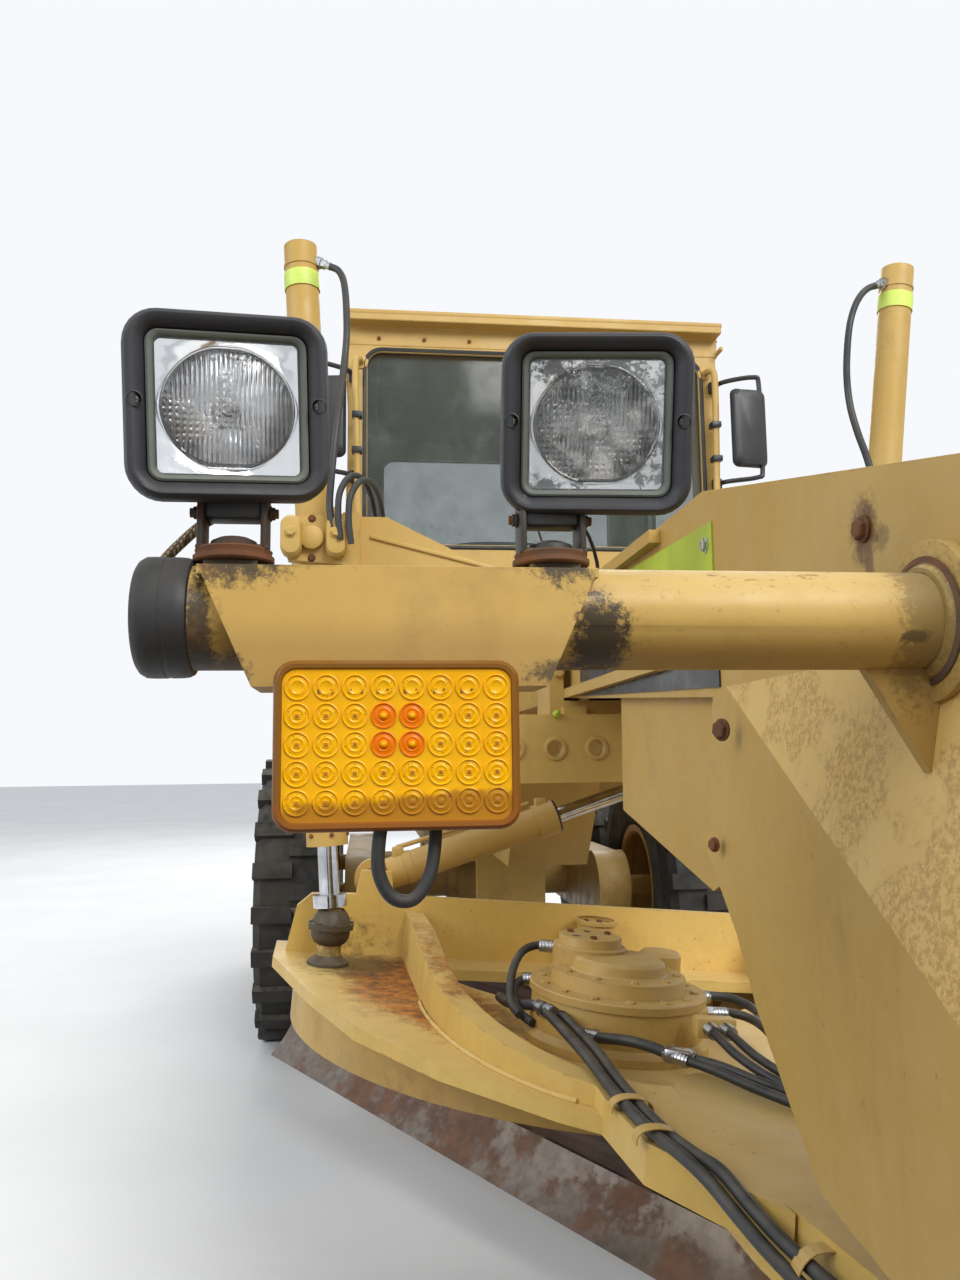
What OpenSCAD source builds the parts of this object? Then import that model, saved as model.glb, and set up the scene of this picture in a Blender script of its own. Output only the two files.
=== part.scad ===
// Motor grader with a lamp bar on each side of its front frame.
// Millimetres. +Y points to the rear, +X to the machine's left, +Z up.
// The origin lies on the ground under the middle of the machine's outline.

/* [Main sizes] */
// distance from the front axle to the middle of the tandem wheels
wheelbase = 6450; // [6000:10:6800]
// distance between the two wheels of one tandem
tandem_pitch = 1640; // [1560:10:1720]
// distance between the middles of the left and right tyres
track = 2080; // [2040:10:2140]
// how far the frame reaches ahead of the front axle
front_overhang = 860; // [820:10:900]
// distance from the front axle to the vertical hinge of the frame
hinge_y = 5000; // [4980:5:5020]

/* [Wheels] */
// outer diameter of a tyre over its lugs
tyre_d = 1490; // [1440:10:1500]
// width of a tyre
tyre_w = 380; // [340:5:400]
// height of a lug
lug_h = 30; // [20:1:40]
// lugs in each half of a tyre
lug_count = 22; // [18:1:24]
// diameter of the rim under the tyre
rim_d = 640; // [600:5:680]
// diameter of the spindle that a wheel turns on
spindle_d = 110; // [90:2:130]
// running clearance around a shaft, pin or rod
run_gap = 0.4; // [0.2:0.1:0.6]
// gap between a seated piece and its seat
seat_gap = 0.3; // [0.2:0.1:0.4]

/* [Front frame] */
// width of the upper box of the frame
beam_w = 300; // [260:5:340]
// width of the lower box of the frame over the front axle
bolster_w = 470; // [440:5:490]
// height where the sloped shoulders meet the lower box
shoulder_low = 1181; // [1165:1:1200]
// height where the sloped shoulders meet the upper box
shoulder_high = 1585; // [1570:1:1600]
// top of the level stretch of the frame
beam_top = 1900; // [1880:5:1920]

/* [Lamp bars] */
// outer diameter of the lamp bar's tube
bar_d = 89; // [80:1:98]
// wall of the tube
bar_wall = 6; // [4:0.5:10]
// distance of the bar behind the front axle
bar_y = 860; // [820:5:900]
// height of the bar
bar_z = 1605; // [1580:5:1640]
// distance from the middle plane to the tip of the end cap
bar_reach = 864; // [850:2:880]
// width of a work lamp
lamp_w = 166; // [150:1:180]
// height of a work lamp
lamp_h = 156; // [150:1:168]
// depth of a work lamp
lamp_depth = 95; // [80:1:110]
// height of a work lamp's middle over the bar's axis
lamp_rise = 169; // [160:1:180]
// width of the marker lamp
marker_w = 186; // [170:1:200]
// height of the marker lamp
marker_h = 128; // [120:1:140]

/* [Cab] */
// distance from the front axle to the front of the cab
cab_y = 3740; // [3720:5:3760]
// depth of the cab
cab_d = 1240; // [1220:5:1250]
// width of the cab
cab_w = 1500; // [1440:10:1540]
// height of the cab's floor
floor_z = 1450; // [1445:5:1460]
// top of the cab's walls
wall_top = 3110; // [3060:10:3160]
// thickness of the roof
roof_t = 120; // [100:5:140]
// width of a cab post
post_w = 75; // [60:5:90]
// thickness of a door
door_t = 45; // [40:1:50]
// thickness of a pane
pane_t = 6; // [5:1:8]

/* [Drawbar, circle and blade] */
// distance from the front axle to the drawbar's ball
ball_y = 600; // [590:5:610]
// height of the drawbar's ball
ball_z = 905; // [895:5:915]
// distance from the ball to the middle of the circle
circle_reach = 2050; // [2030:5:2060]
// radius of the circle's outer band
circle_r = 780; // [760:5:800]
// turn of the blade from straight across
blade_turn = 58; // [54:1:60]
// slope of the drawbar, its right side up
drawbar_roll = 5; // [4:0.5:6]
// slope of the drawbar, its rear end up
drawbar_pitch = 1; // [0.5:0.5:1.5]
// swing of the drawbar to the machine's right
drawbar_yaw = 2.2; // [1.8:0.1:2.6]
// length of the blade
blade_l = 3660; // [3600:10:3680]
// height of the blade over its cutting edge
blade_h = 592; // [580:2:600]
// radius of the blade's curve
blade_r = 420; // [400:5:450]
// thickness of the blade
blade_t = 22; // [18:1:28]
// how far the blade stands off the middle towards its trailing end
blade_shift = 50; // [30:5:60]
// distance from the middle to a lift cylinder's ball
lift_ball_x = 700; // [690:5:710]

/* [Cylinders] */
// outer diameter of a lift cylinder's barrel
lift_d = 90; // [84:1:96]
// diameter of a lift cylinder's rod
lift_rod_d = 50; // [40:1:56]
// height of the lift cylinders' trunnions
trunnion_z = 2040; // [2030:5:2050]
// distance of the right trunnion from the middle plane
trunnion_right = 815; // [810:1:820]
// distance of the left trunnion from the middle plane
trunnion_left = 760; // [755:1:765]

/* [Rear frame] */
// distance between the outsides of the rear frame's rails
rail_span = 640; // [600:10:680]
// width of the engine hood
hood_w = 1060; // [1000:10:1100]
// top of the engine hood
hood_top = 2330; // [2280:10:2380]

/* [Output] */
// sub-part to build

/* [Hidden] */

$fn = 64;

// overall length, halved by the origin
rear_overhang = 1970;
overall_l = front_overhang + wheelbase + rear_overhang;
axle_y = front_overhang - overall_l / 2;

yellow = [0.80, 0.55, 0.10];
black = [0.07, 0.07, 0.07];
steel = [0.72, 0.73, 0.75];
rust = [0.38, 0.22, 0.12];
amber = [0.95, 0.45, 0.05];
glass_tint = [0.70, 0.80, 0.80, 0.5];

wheel_x = track / 2;
wheel_z = tyre_d / 2;
middle_y = wheelbase - tandem_pitch / 2;
rear_y = wheelbase + tandem_pitch / 2;

king_x = 790;
king_d = 64;
boss_h = 200;
ear_t = 34;
ear_gap = 6;
web_x = king_x + 90;
arm_reach = 230;
disc_offset = 60;
spindle_end = wheel_x + disc_offset + 25;

cab_mid = cab_y + cab_d / 2;
cab_rear = cab_y + cab_d;
glass_low = 2310;
glass_high = 3085;
roof_front = cab_y - 60;
windshield_w = cab_w - 150;
rear_window_w = cab_w - 320;
rear_window_h = 760;
rear_window_z = 2640;

// Moves

module from_axle() {
    translate([0, axle_y, 0]) children();
}

// a side outline of [y, z] points, as wide as w across the machine
module side_cut(outline, w) {
    rotate([90, 0, 90])
        linear_extrude(height = w, center = true)
            polygon(outline);
}

// a front outline of [x, z] points, from y0 to y1
module front_cut(outline, y0, y1) {
    translate([0, y1, 0])
        rotate([90, 0, 0])
            linear_extrude(height = y1 - y0)
                polygon(outline);
}

// a round bar from point p to point q
module bar(p, q, d) {
    run = q - p;
    span = norm(run);
    translate(p)
        rotate([0, acos(run[2] / span), atan2(run[1], run[0])])
            cylinder(d = d, h = span);
}

// a box from corner a to corner b
module block(a, b) {
    translate(a) cube(b - a);
}

// a shaft along X around the point p
module across(p, d, w) {
    translate(p) rotate([0, 90, 0]) cylinder(d = d, h = w, center = true);
}

// a shaft along Y around the point p
module along(p, d, w) {
    translate(p) rotate([90, 0, 0]) cylinder(d = d, h = w, center = true);
}

// an upright shaft around the point p
module upright(p, d, h) {
    translate(p) cylinder(d = d, h = h, center = true);
}

module both_sides() {
    children();
    mirror([1, 0, 0]) children();
}

// places things in the drawbar's frame, whose origin is its ball
module in_drawbar() {
    translate([0, axle_y + ball_y, ball_z])
        rotate([drawbar_pitch, drawbar_roll, drawbar_yaw])
            children();
}

// places things in the circle's frame, turned with the blade
module in_circle() {
    in_drawbar()
        translate([0, circle_reach, 0])
            rotate([0, 0, -blade_turn])
                children();
}

function turn_x(p, a) =
    [p[0], p[1] * cos(a) - p[2] * sin(a), p[1] * sin(a) + p[2] * cos(a)];
function turn_y(p, a) =
    [p[0] * cos(a) + p[2] * sin(a), p[1], -p[0] * sin(a) + p[2] * cos(a)];
function turn_z(p, a) =
    [p[0] * cos(a) - p[1] * sin(a), p[0] * sin(a) + p[1] * cos(a), p[2]];

// where a point of the drawbar's frame lies, measured from the front axle
function drawbar_point(p) =
    [0, ball_y, ball_z]
    + turn_z(turn_y(turn_x(p, drawbar_pitch), drawbar_roll), drawbar_yaw);

// Front frame

frame_front = -front_overhang;
axle_slot = 115;
leg_low = 1005;
leg_end = 430;
beam_low = 1640;
neck_low = 1080;
neck_end = hinge_y - 300;
neck_top = floor_z - 40 - seat_gap;
lug_bore = 90;
lug_r = 110;
lug_t = 70;
upper_lug_z = 1290;
lower_lug_z = 810;
artic_front = [320, hinge_y - 440, 1240];
artic_rear = [290, hinge_y + 520, 1240];
artic_d = 84;
artic_rod_d = 46;
artic_eye_t = 52;
artic_pin_d = 40;

frame_outline = [
    [3690, beam_top - 20], [1480, beam_top], [810, 1750], [-250, 1450],
    [-480, 1300], [-480, 640], [leg_end, 640], [leg_end, leg_low],
    [1110, leg_low], [1327, 1149], [1536, 1353], [1468, 1573], [2600, beam_low],
    [3250, beam_low], [3700, neck_low], [neck_end, neck_low],
    [neck_end, neck_top], [3690, neck_top]
];

// plate between the leg and the underside of the beam
gusset_outline = [
    [1480, 1590], [2090, 1610], [2100, 1370], [1560, 1270], [1480, 1300]
];

shoulder_outline = [
    [-bolster_w / 2, 500], [bolster_w / 2, 500],
    [bolster_w / 2, shoulder_low], [beam_w / 2, shoulder_high],
    [beam_w / 2, 2000], [-beam_w / 2, 2000],
    [-beam_w / 2, shoulder_high], [-bolster_w / 2, shoulder_low]
];

// plan of the frame, which widens from the beam to the leg
flare_start = 1410;
flare_end = 588;
plan_outline = [
    [-bolster_w / 2, frame_front], [bolster_w / 2, frame_front],
    [bolster_w / 2, flare_end], [beam_w / 2, flare_start], [beam_w / 2, 5200],
    [-beam_w / 2, 5200], [-beam_w / 2, flare_start], [-bolster_w / 2, flare_end]
];

module hinge_lug(z) {
    difference() {
        union() {
            upright([0, hinge_y, z], 2 * lug_r, lug_t);
            block([-lug_r, neck_end - 20, z - lug_t / 2],
                  [lug_r, hinge_y, z + lug_t / 2]);
        }
        upright([0, hinge_y, z], lug_bore + 2 * run_gap, lug_t + 2);
    }
}

module front_frame() {
    color(yellow) from_axle() {
        difference() {
            union() {
                intersection() {
                    side_cut(frame_outline, bolster_w + 20);
                    front_cut(shoulder_outline, frame_front, 5200);
                    translate([0, 0, 500])
                        linear_extrude(height = 1500) polygon(plan_outline);
                }
                // push plate ahead of the axle
                block([-330, frame_front, 560], [330, frame_front + 40, 1020]);
                block([-180, frame_front + 30, 640], [180, -470, 980]);
                // side flange strips along the beam
                for (z = [beam_low - 6, beam_top - 34])
                    block([-beam_w / 2 - 22, 1700, z],
                          [beam_w / 2 + 22, 3600, z + 24]);
                // plates under the beam, behind the leg
                for (s = [-1, 1])
                    translate([s * (beam_w / 2 - 30), 0, 0]) side_cut(gusset_outline, 16);
                // plates beside the neck that carry the cab
                for (y = [3900, 4540])
                    block([-560, y, 1330], [560, y + 90, neck_top]);
                // upright plate that carries the hinge lugs
                block([-160, neck_end - 60, 770], [160, neck_end, neck_top]);
            }
            // slot for the front axle
            block([-300, -axle_slot, 500], [300, axle_slot, 900]);
            // bore of the axle's pivot
            along([0, 0, wheel_z], 90 + 2 * run_gap, 1200);
            // bolt holes of the push plate
            for (sx = [-1, 1], sz = [-1, 1])
                along([sx * 260, frame_front + 20, 790 + sz * 150], 28, 60);
            // recess for the drawbar's ball
            translate([0, ball_y, ball_z]) sphere(d = 150 + 10);
        }
        // pivot pin of the axle, ahead of and behind the slot
        hinge_lug(upper_lug_z);
        hinge_lug(lower_lug_z);
        for (sx = [-1, 1]) artic_bracket(sx);
        drawbar_socket();
    }
}

// bracket and pin of an articulation cylinder
module artic_bracket(s) {
    x = s * artic_front[0];
    low = artic_front[2] - artic_eye_t / 2 - seat_gap;
    block([min(s * 130, x + s * 50), artic_front[1] - 55, low - 34],
          [max(s * 130, x + s * 50), artic_front[1] + 55, low]);
    upright([x, artic_front[1], low + 22], artic_pin_d, 100);
}

// cup that holds the drawbar's ball against the frame
module drawbar_socket() {
    difference() {
        along([0, leg_end + 60, ball_z], 200, 140);
        translate([0, ball_y, ball_z]) sphere(d = 150 + 2);
    }
}

// Lamp bars

cap_l = 28;
cap_tip = 12;
pad_out = 790;
pad_in = 516;
lamp_out = 794;
lamp_in = 482;
marker_x = 654;
seat_half = 22;
seat_rise = 46;
foot_z = seat_rise + seat_gap;

module light_bar() {
    // tube, closed by a cap at its outer end
    difference() {
        across([-(beam_w / 2 + bar_reach - cap_tip) / 2, bar_y, bar_z], bar_d,
               bar_reach - cap_tip - beam_w / 2);
        across([-(beam_w / 2 + bar_reach) / 2 - 10, bar_y, bar_z],
               bar_d - 2 * bar_wall, bar_reach - beam_w / 2 - 90);
    }
    // flared cap
    translate([-bar_reach + cap_tip, bar_y, bar_z])
        rotate([0, 90, 0])
            rotate_extrude()
                polygon([[0, -cap_tip], [44, -cap_tip], [50, -cap_tip + 6],
                         [50, cap_l - 8], [48, cap_l], [0, cap_l]]);
    // root plate on the side of the frame
    translate([-beam_w / 2 - 9, bar_y, bar_z])
        rotate([0, 90, 0]) cylinder(d = 150, h = 18, center = true);
    // gusset under the root
    translate([-beam_w / 2, bar_y + 6, bar_z])
        rotate([90, 0, 0])
            linear_extrude(height = 12)
                polygon([[0, -40], [-84, -40], [0, -180]]);
    // tapered plate that carries the lamps
    front_cut([[-812, bar_z + 36], [-486, bar_z + 36], [-530, bar_z - 62],
               [-768, bar_z - 62]], bar_y - bar_d / 2 - 9, bar_y - bar_d / 2 + 1);
    for (pad = [pad_out, pad_in])
        block([-pad - seat_half, bar_y - seat_half, bar_z + 30],
              [-pad + seat_half, bar_y + seat_half, bar_z + seat_rise]);
    for (z = [bar_z + 28, bar_z - 62])
        block([-(z > bar_z ? 812 : 768), bar_y - bar_d / 2 - 9, z],
              [-(z > bar_z ? 486 : 530), bar_y + 20, z + 8]);
    // tab that holds the marker lamp
    block([-marker_x - 50, bar_y - bar_d / 2 - 9, bar_z - 150],
          [-marker_x + 50, bar_y - bar_d / 2 - 1, bar_z - 55]);
}

module light_bars() {
    color(yellow) from_axle()
        both_sides()
            difference() {
                light_bar();
                // sloped side of the frame, where the bar is seated
                front_cut([[0, shoulder_low], [-bolster_w / 2 - seat_gap, shoulder_low],
                           [-beam_w / 2 - seat_gap, shoulder_high], [0, shoulder_high]],
                          bar_y - 200, bar_y + 200);
            }
}
module work_lamp(pad, middle) {
    translate([pad, bar_y, bar_z]) {
        // housing with its opening towards the front
        translate([middle - pad, 0, lamp_rise])
            difference() {
                rounded_front(lamp_w, lamp_h, 26, -lamp_depth / 2, lamp_depth / 2);
                rounded_front(lamp_w - 26, lamp_h - 26, 18,
                              -lamp_depth / 2 - 1, -lamp_depth / 2 + 18);
            }
        // foot and stem
        upright([0, 0, foot_z + 6.5], 66, 13);
        block([-32, -22, foot_z + 10], [32, 22, foot_z + 18]);
        for (s = [-1, 1])
            block([s * 29 - 4, -22, foot_z + 10],
                  [s * 29 + 4, 22, lamp_rise - lamp_h / 2 + 6]);
    }
}

// a rounded rectangle facing the front, from y0 to y1
module rounded_front(w, h, r, y0, y1) {
    translate([0, y1, 0])
        rotate([90, 0, 0])
            linear_extrude(height = y1 - y0)
                union() {
                    square([w - 2 * r, h], center = true);
                    square([w, h - 2 * r], center = true);
                    for (sx = [-1, 1], sz = [-1, 1])
                        translate([sx * (w / 2 - r), sz * (h / 2 - r)]) circle(r);
                }
}

module work_lamps() {
    color(black) from_axle() {
        for (s = [-1, 1]) {
            work_lamp(s * pad_out, s * lamp_out);
            work_lamp(s * pad_in, s * lamp_in);
        }
        // lamps at the cab's base
        for (s = [-1, 1])
            translate([s * 560, cab_y - seat_gap, floor_z + 60])
                rounded_front(150, 110, 20, -110, 0);
    }
}

module marker_lamps() {
    color(amber) from_axle()
        for (s = [-1, 1])
            translate([s * marker_x, bar_y - bar_d / 2 - 9 - 22, bar_z - 109])
                rounded_front(marker_w, marker_h, 30, -22, 22 - seat_gap);
}

// Saddle and lift arms

saddle_y = 2580;

module lift_arm(side, x) {
    // arm from the beam out to the fork
    difference() {
        union() {
            front_cut([[side * (beam_w / 2 + 30), 1700],
                       [side * (beam_w / 2 + 30), 1890],
                       [side * (x - 190), trunnion_z + 70],
                       [side * (x - 70), trunnion_z + 70],
                       [side * (x - 70), trunnion_z - 70],
                       [side * (x - 190), trunnion_z - 90]],
                      saddle_y - 60, saddle_y + 60);
            // fork ears ahead of and behind the barrel
            for (s = [-1, 1])
                front_cut([[side * (x - 120), trunnion_z - 70],
                           [side * (x + 60), trunnion_z - 55],
                           [side * (x + 60), trunnion_z + 55],
                           [side * (x - 120), trunnion_z + 70]],
                          saddle_y + s * 75 - 18 + s * 12, saddle_y + s * 75 + 18 + s * 12);
            block([min(side * (x - 120), side * (x - 78)), saddle_y - 105,
                   trunnion_z - 70],
                  [max(side * (x - 120), side * (x - 78)), saddle_y + 105,
                   trunnion_z + 70]);
        }
        along([side * x, saddle_y, trunnion_z], 50 + 2 * run_gap, 300);
    }
}

module saddle() {
    color(yellow) from_axle() {
        // strap around the beam
        difference() {
            block([-beam_w / 2 - 60, saddle_y - 90, beam_low - 50],
                  [beam_w / 2 + 60, saddle_y + 90, beam_top + 50]);
            block([-beam_w / 2 - 22 - seat_gap, saddle_y - 100,
                   beam_low - 12 - seat_gap],
                  [beam_w / 2 + 22 + seat_gap, saddle_y + 100,
                   beam_top + seat_gap]);
        }
        lift_arm(-1, trunnion_right);
        lift_arm(1, trunnion_left);
        // link bar with its row of holes, under the beam
        difference() {
            front_cut([[-420, 1480], [-300, 1420], [300, 1420], [420, 1480],
                       [420, 1590], [-420, 1590]], saddle_y - 150, saddle_y - 110);
            for (k = [-3 : 3])
                along([k * 105, saddle_y - 130, 1505], 40, 60);
        }
        // hangers of the link bar
        for (x = [-150, 150])
            block([x - 30, saddle_y - 120, 1570], [x + 30, saddle_y - 80, 1610]);
        // ear of the centre shift cylinder
        shift_ear();
    }
}

// Cab

module cab_frame() {
    color(yellow) from_axle() {
        // floor
        block([-cab_w / 2, cab_y, floor_z - 40], [cab_w / 2, cab_rear, floor_z + 20]);
        // front wall with its windows
        difference() {
            block([-cab_w / 2, cab_y, floor_z], [cab_w / 2, cab_y + 60, wall_top]);
            // windshield
            translate([0, cab_y + 30, (glass_low + glass_high) / 2])
                rounded_front(windshield_w, glass_high - glass_low, 60, -50, 50);
            // lower corner windows
            for (s = [-1, 1])
                front_cut([[s * 310, floor_z + 620], [s * 660, floor_z + 760],
                           [s * 660, floor_z + 130], [s * 520, floor_z + 130]],
                          cab_y - 10, cab_y + 70);
        }
        // rear wall with its window
        difference() {
            block([-cab_w / 2, cab_rear - 60, floor_z], [cab_w / 2, cab_rear, wall_top]);
            translate([0, cab_rear - 30, rear_window_z])
                rounded_front(rear_window_w, rear_window_h, 60, -50, 50);
        }
        // corner posts and side headers
        for (s = [-1, 1]) {
            block([s > 0 ? cab_w / 2 - post_w : -cab_w / 2, cab_y + 50, wall_top - 60],
                  [s > 0 ? cab_w / 2 : -cab_w / 2 + post_w, cab_rear - 50, wall_top]);
            block([s > 0 ? cab_w / 2 - post_w : -cab_w / 2, cab_rear - 260, floor_z],
                  [s > 0 ? cab_w / 2 : -cab_w / 2 + post_w, cab_rear - 50, wall_top]);
            block([s > 0 ? cab_w / 2 - post_w : -cab_w / 2, cab_y + 50, floor_z],
                  [s > 0 ? cab_w / 2 : -cab_w / 2 + post_w, cab_y + 110, wall_top]);
            // leaves of the door hinges, above and below each knuckle
            for (z = [door_z0 + 250, door_z1 - 250], e = [-1, 1]) {
                leaf_z = z + e * (knuckle_h / 2 + seat_gap + 15);
                upright([s * door_axis_x, door_axis_y, leaf_z], hinge_pin_d, 30);
                block([s * door_axis_x - 12, door_axis_y, leaf_z - 15],
                      [s * door_axis_x + 12, door_y1 + 30, leaf_z + 15]);
                block([s * (cab_w / 2) - 12, door_y1 + 12, leaf_z - 15],
                      [s * (cab_w / 2) + 12, door_y1 + 30, leaf_z + 15]);
            }
        }
    }
}

module cab_roof() {
    color(yellow) from_axle()
        difference() {
            union() {
                block([-cab_w / 2 - 10, roof_front, wall_top + seat_gap],
                      [cab_w / 2 + 10, cab_rear + 20, wall_top + roof_t]);
                front_cut([[-cab_w / 2 + 60, wall_top + roof_t - 1],
                           [cab_w / 2 - 60, wall_top + roof_t - 1],
                           [cab_w / 2 - 160, wall_top + roof_t + 40],
                           [-cab_w / 2 + 160, wall_top + roof_t + 40]],
                          roof_front + 80, cab_rear - 60);
            }
            block([-cab_w / 2 + 120, cab_y + 80, wall_top - 10],
                  [cab_w / 2 - 120, cab_rear - 80, wall_top + 60]);
            // the overhang ahead of the front wall is a thin visor
            block([-cab_w / 2 - 30, roof_front - 20, wall_top - 10],
                  [cab_w / 2 + 30, cab_y, wall_top + roof_t - 40]);
        }
}

module cab_glass() {
    color(glass_tint) from_axle() {
        translate([0, cab_y + 30, (glass_low + glass_high) / 2])
            rounded_front(windshield_w - 2 * seat_gap, glass_high - glass_low - 2 * seat_gap,
                          60 - seat_gap, -pane_t / 2, pane_t / 2);
        for (s = [-1, 1])
            front_cut([[s * 310 + s, floor_z + 619], [s * 659, floor_z + 758],
                       [s * 659, floor_z + 131], [s * 521, floor_z + 131]],
                      cab_y + 27, cab_y + 27 + pane_t);
        translate([0, cab_rear - 30, rear_window_z])
            rounded_front(rear_window_w - 2 * seat_gap, rear_window_h - 2 * seat_gap,
                          60 - seat_gap, -pane_t / 2, pane_t / 2);
    }
}

// Doors

door_y0 = cab_y + 110 + 6;
door_y1 = cab_rear - 260 - 6;
door_z0 = floor_z + 26;
door_z1 = wall_top - 60 - 6;
door_window_low = floor_z + 330;
hinge_pin_d = 24;
knuckle_h = 70;
door_axis_x = cab_w / 2 + 16;
door_axis_y = door_y1 - 14;

// outline of the door's window, as [y, z] points
window_outline = [
    [door_y0 + 70, door_window_low], [door_y1 - 70, door_window_low],
    [door_y1 - 70, door_z1 - 80], [door_y0 + 70, door_z1 - 80]
];

module door(side) {
    x = side * (cab_w / 2 - door_t / 2);
    color(yellow) from_axle() {
        difference() {
            block([x - door_t / 2, door_y0, door_z0], [x + door_t / 2, door_y1, door_z1]);
            translate([x, 0, 0]) side_cut(window_outline, door_t + 2);
        }
        // handle
        block([side * (cab_w / 2 - 1) - 12, door_y0 + 20, floor_z + 250],
              [side * (cab_w / 2 - 1) + 12, door_y0 + 60, floor_z + 280]);
        // hinge knuckles at the rear edge
        for (z = [door_z0 + 250, door_z1 - 250]) {
            upright([side * door_axis_x, door_axis_y, z], hinge_pin_d, knuckle_h);
            block([side * (cab_w / 2 + 5) - 11, door_axis_y - 10, z - knuckle_h / 2],
                  [side * (cab_w / 2 + 5) + 11, door_axis_y + 10, z + knuckle_h / 2]);
        }
    }
}

module door_glass(side) {
    x = side * (cab_w / 2 - door_t / 2);
    color(glass_tint) from_axle()
        translate([x, 0, 0])
            side_cut([for (p = window_outline)
                          [p[0] + (p[0] > cab_mid - 60 ? -seat_gap : seat_gap),
                           p[1] + (p[1] > 2300 ? -seat_gap : seat_gap)]], pane_t);
}

module door_left() {
    door(1);
}

module door_right() {
    door(-1);
}

module door_glass_left() {
    door_glass(1);
}

module door_glass_right() {
    door_glass(-1);
}

// Inside the cab

// rear of the seat's back, ahead of the rear wall
seat_rear = cab_rear - 80;

module seat() {
    color(black) from_axle() {
        block([-250, seat_rear - 500, floor_z + 20 + seat_gap],
              [250, seat_rear - 40, floor_z + 300]);
        block([-260, seat_rear - 520, floor_z + 300], [260, seat_rear - 20, floor_z + 440]);
        side_cut([[seat_rear - 160, floor_z + 420], [seat_rear - 20, floor_z + 420],
                  [seat_rear, floor_z + 1120], [seat_rear - 100, floor_z + 1120]], 480);
    }
}

module console() {
    color(black) from_axle() {
        side_cut([[cab_y + 150, floor_z + 20 + seat_gap], [cab_y + 420, floor_z + 20 + seat_gap],
                  [cab_y + 300, floor_z + 620], [cab_y + 210, floor_z + 640]], 200);
        bar([0, cab_y + 260, floor_z + 600], [0, cab_y + 330, floor_z + 760], 50);
        translate([0, cab_y + 335, floor_z + 770])
            rotate([-23, 0, 0]) {
                rotate_extrude() translate([190, 0]) circle(16);
                for (a = [0 : 120 : 240])
                    rotate([0, 0, a + 30]) block([0, -14, -8], [190, 14, 8]);
                cylinder(d = 70, h = 40, center = true);
            }
    }
}

// Mirrors and grab rails

module mirrors() {
    color(black) from_axle()
        for (s = [-1, 1]) {
            bar([s * (cab_w / 2 - 10), cab_y + 10 - 30, 2980],
                [s * (cab_w / 2 + 130), cab_y - 120, 2980], 24);
            bar([s * (cab_w / 2 + 130), cab_y - 120, 2992],
                [s * (cab_w / 2 + 130), cab_y - 120, 2560], 24);
            bar([s * (cab_w / 2 + 130), cab_y - 120, 2572],
                [s * (cab_w / 2 - 10), cab_y + 10 - 30, 2572], 24);
            block([s * (cab_w / 2 + 80) - 75, cab_y - 150, 2610],
                  [s * (cab_w / 2 + 80) + 75, cab_y - 112, 2930]);
            block([s * (cab_w / 2 - 20) - 18, cab_y - 34, 2555],
                  [s * (cab_w / 2 - 20) + 18, cab_y - seat_gap, 2997]);
        }
}

step_d = 124;
step_x = cab_w / 2 + step_d / 2 + seat_gap;
rail_x = cab_w / 2 - 62;

module grab_rails() {
    color(yellow) from_axle()
        for (s = [-1, 1]) {
            for (z = [2200, 3000])
                bar([s * rail_x, cab_y - seat_gap, z], [s * rail_x, cab_y - 64, z], 26);
            bar([s * rail_x, cab_y - 52, 3012], [s * rail_x, cab_y - 52, 2188], 30);
            // steps under the doors
            for (y = [door_y0 + 60, door_y0 + 480])
                block([s * step_x - step_d / 2, y, s > 0 ? 1060 : 1290],
                      [s * step_x + step_d / 2, y + 14, floor_z + 10]);
            for (z = s > 0 ? [1060, 1290] : [1290])
                block([s * step_x - step_d / 2, door_y0 + 60, z],
                      [s * step_x + step_d / 2, door_y0 + 494, z + 16]);
        }
}

// Front axle and steering

module front_axle() {
    color(yellow) from_axle() {
        difference() {
            union() {
                // arched beam
                front_cut([[-king_x, wheel_z - 90], [-king_x, wheel_z + 90],
                           [-300, wheel_z + 130], [300, wheel_z + 130],
                           [king_x, wheel_z + 90], [king_x, wheel_z - 90],
                           [500, wheel_z - 80], [250, wheel_z - 120],
                           [-250, wheel_z - 120], [-500, wheel_z - 80]], -95, 95);
                both_sides() upright([king_x, 0, wheel_z], 150, boss_h);
            }
            both_sides() upright([king_x, 0, wheel_z], king_d + 2 * run_gap, boss_h + 40);
            along([0, 0, wheel_z], 90 + 2 * run_gap, 300);
        }
        // pivot pin that hangs the axle in the frame
        along([0, 0, wheel_z], 90, 2 * axle_slot + 240);
    }
}

module knuckle(side) {
    x = side * king_x;
    color(rust) from_axle() {
        // king pin
        upright([x, 0, wheel_z], king_d, boss_h + 2 * ear_gap + 2 * ear_t);
        difference() {
            union() {
                for (s = [-1, 1]) {
                    z = wheel_z + s * (boss_h / 2 + ear_gap + ear_t / 2);
                    upright([x, 0, z], 150, ear_t);
                    block([min(x, side * web_x), -75, z - ear_t / 2],
                          [max(x, side * web_x), 75, z + ear_t / 2]);
                }
                // upright web that carries the spindle
                block([min(side * (web_x - 12), side * (web_x + 34)), -100,
                       wheel_z - boss_h / 2 - ear_gap - ear_t],
                      [max(side * (web_x - 12), side * (web_x + 34)), 100,
                       wheel_z + boss_h / 2 + ear_gap + ear_t]);
            }
            upright([x, 0, wheel_z], king_d - 2, 600);
        }
        // spindle
        across([side * (web_x + spindle_end) / 2, 0, wheel_z], spindle_d,
               spindle_end - web_x);
        // steering arm, above the tie rod
        block([x - 40, 60, wheel_z - boss_h / 2 - ear_gap - ear_t],
              [x + 40, arm_reach, wheel_z - boss_h / 2 - ear_gap]);
        upright([x, arm_reach, wheel_z - boss_h / 2 - ear_gap - ear_t / 2], 90, ear_t);
    }
}

module knuckle_left() {
    knuckle(1);
}

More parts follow.
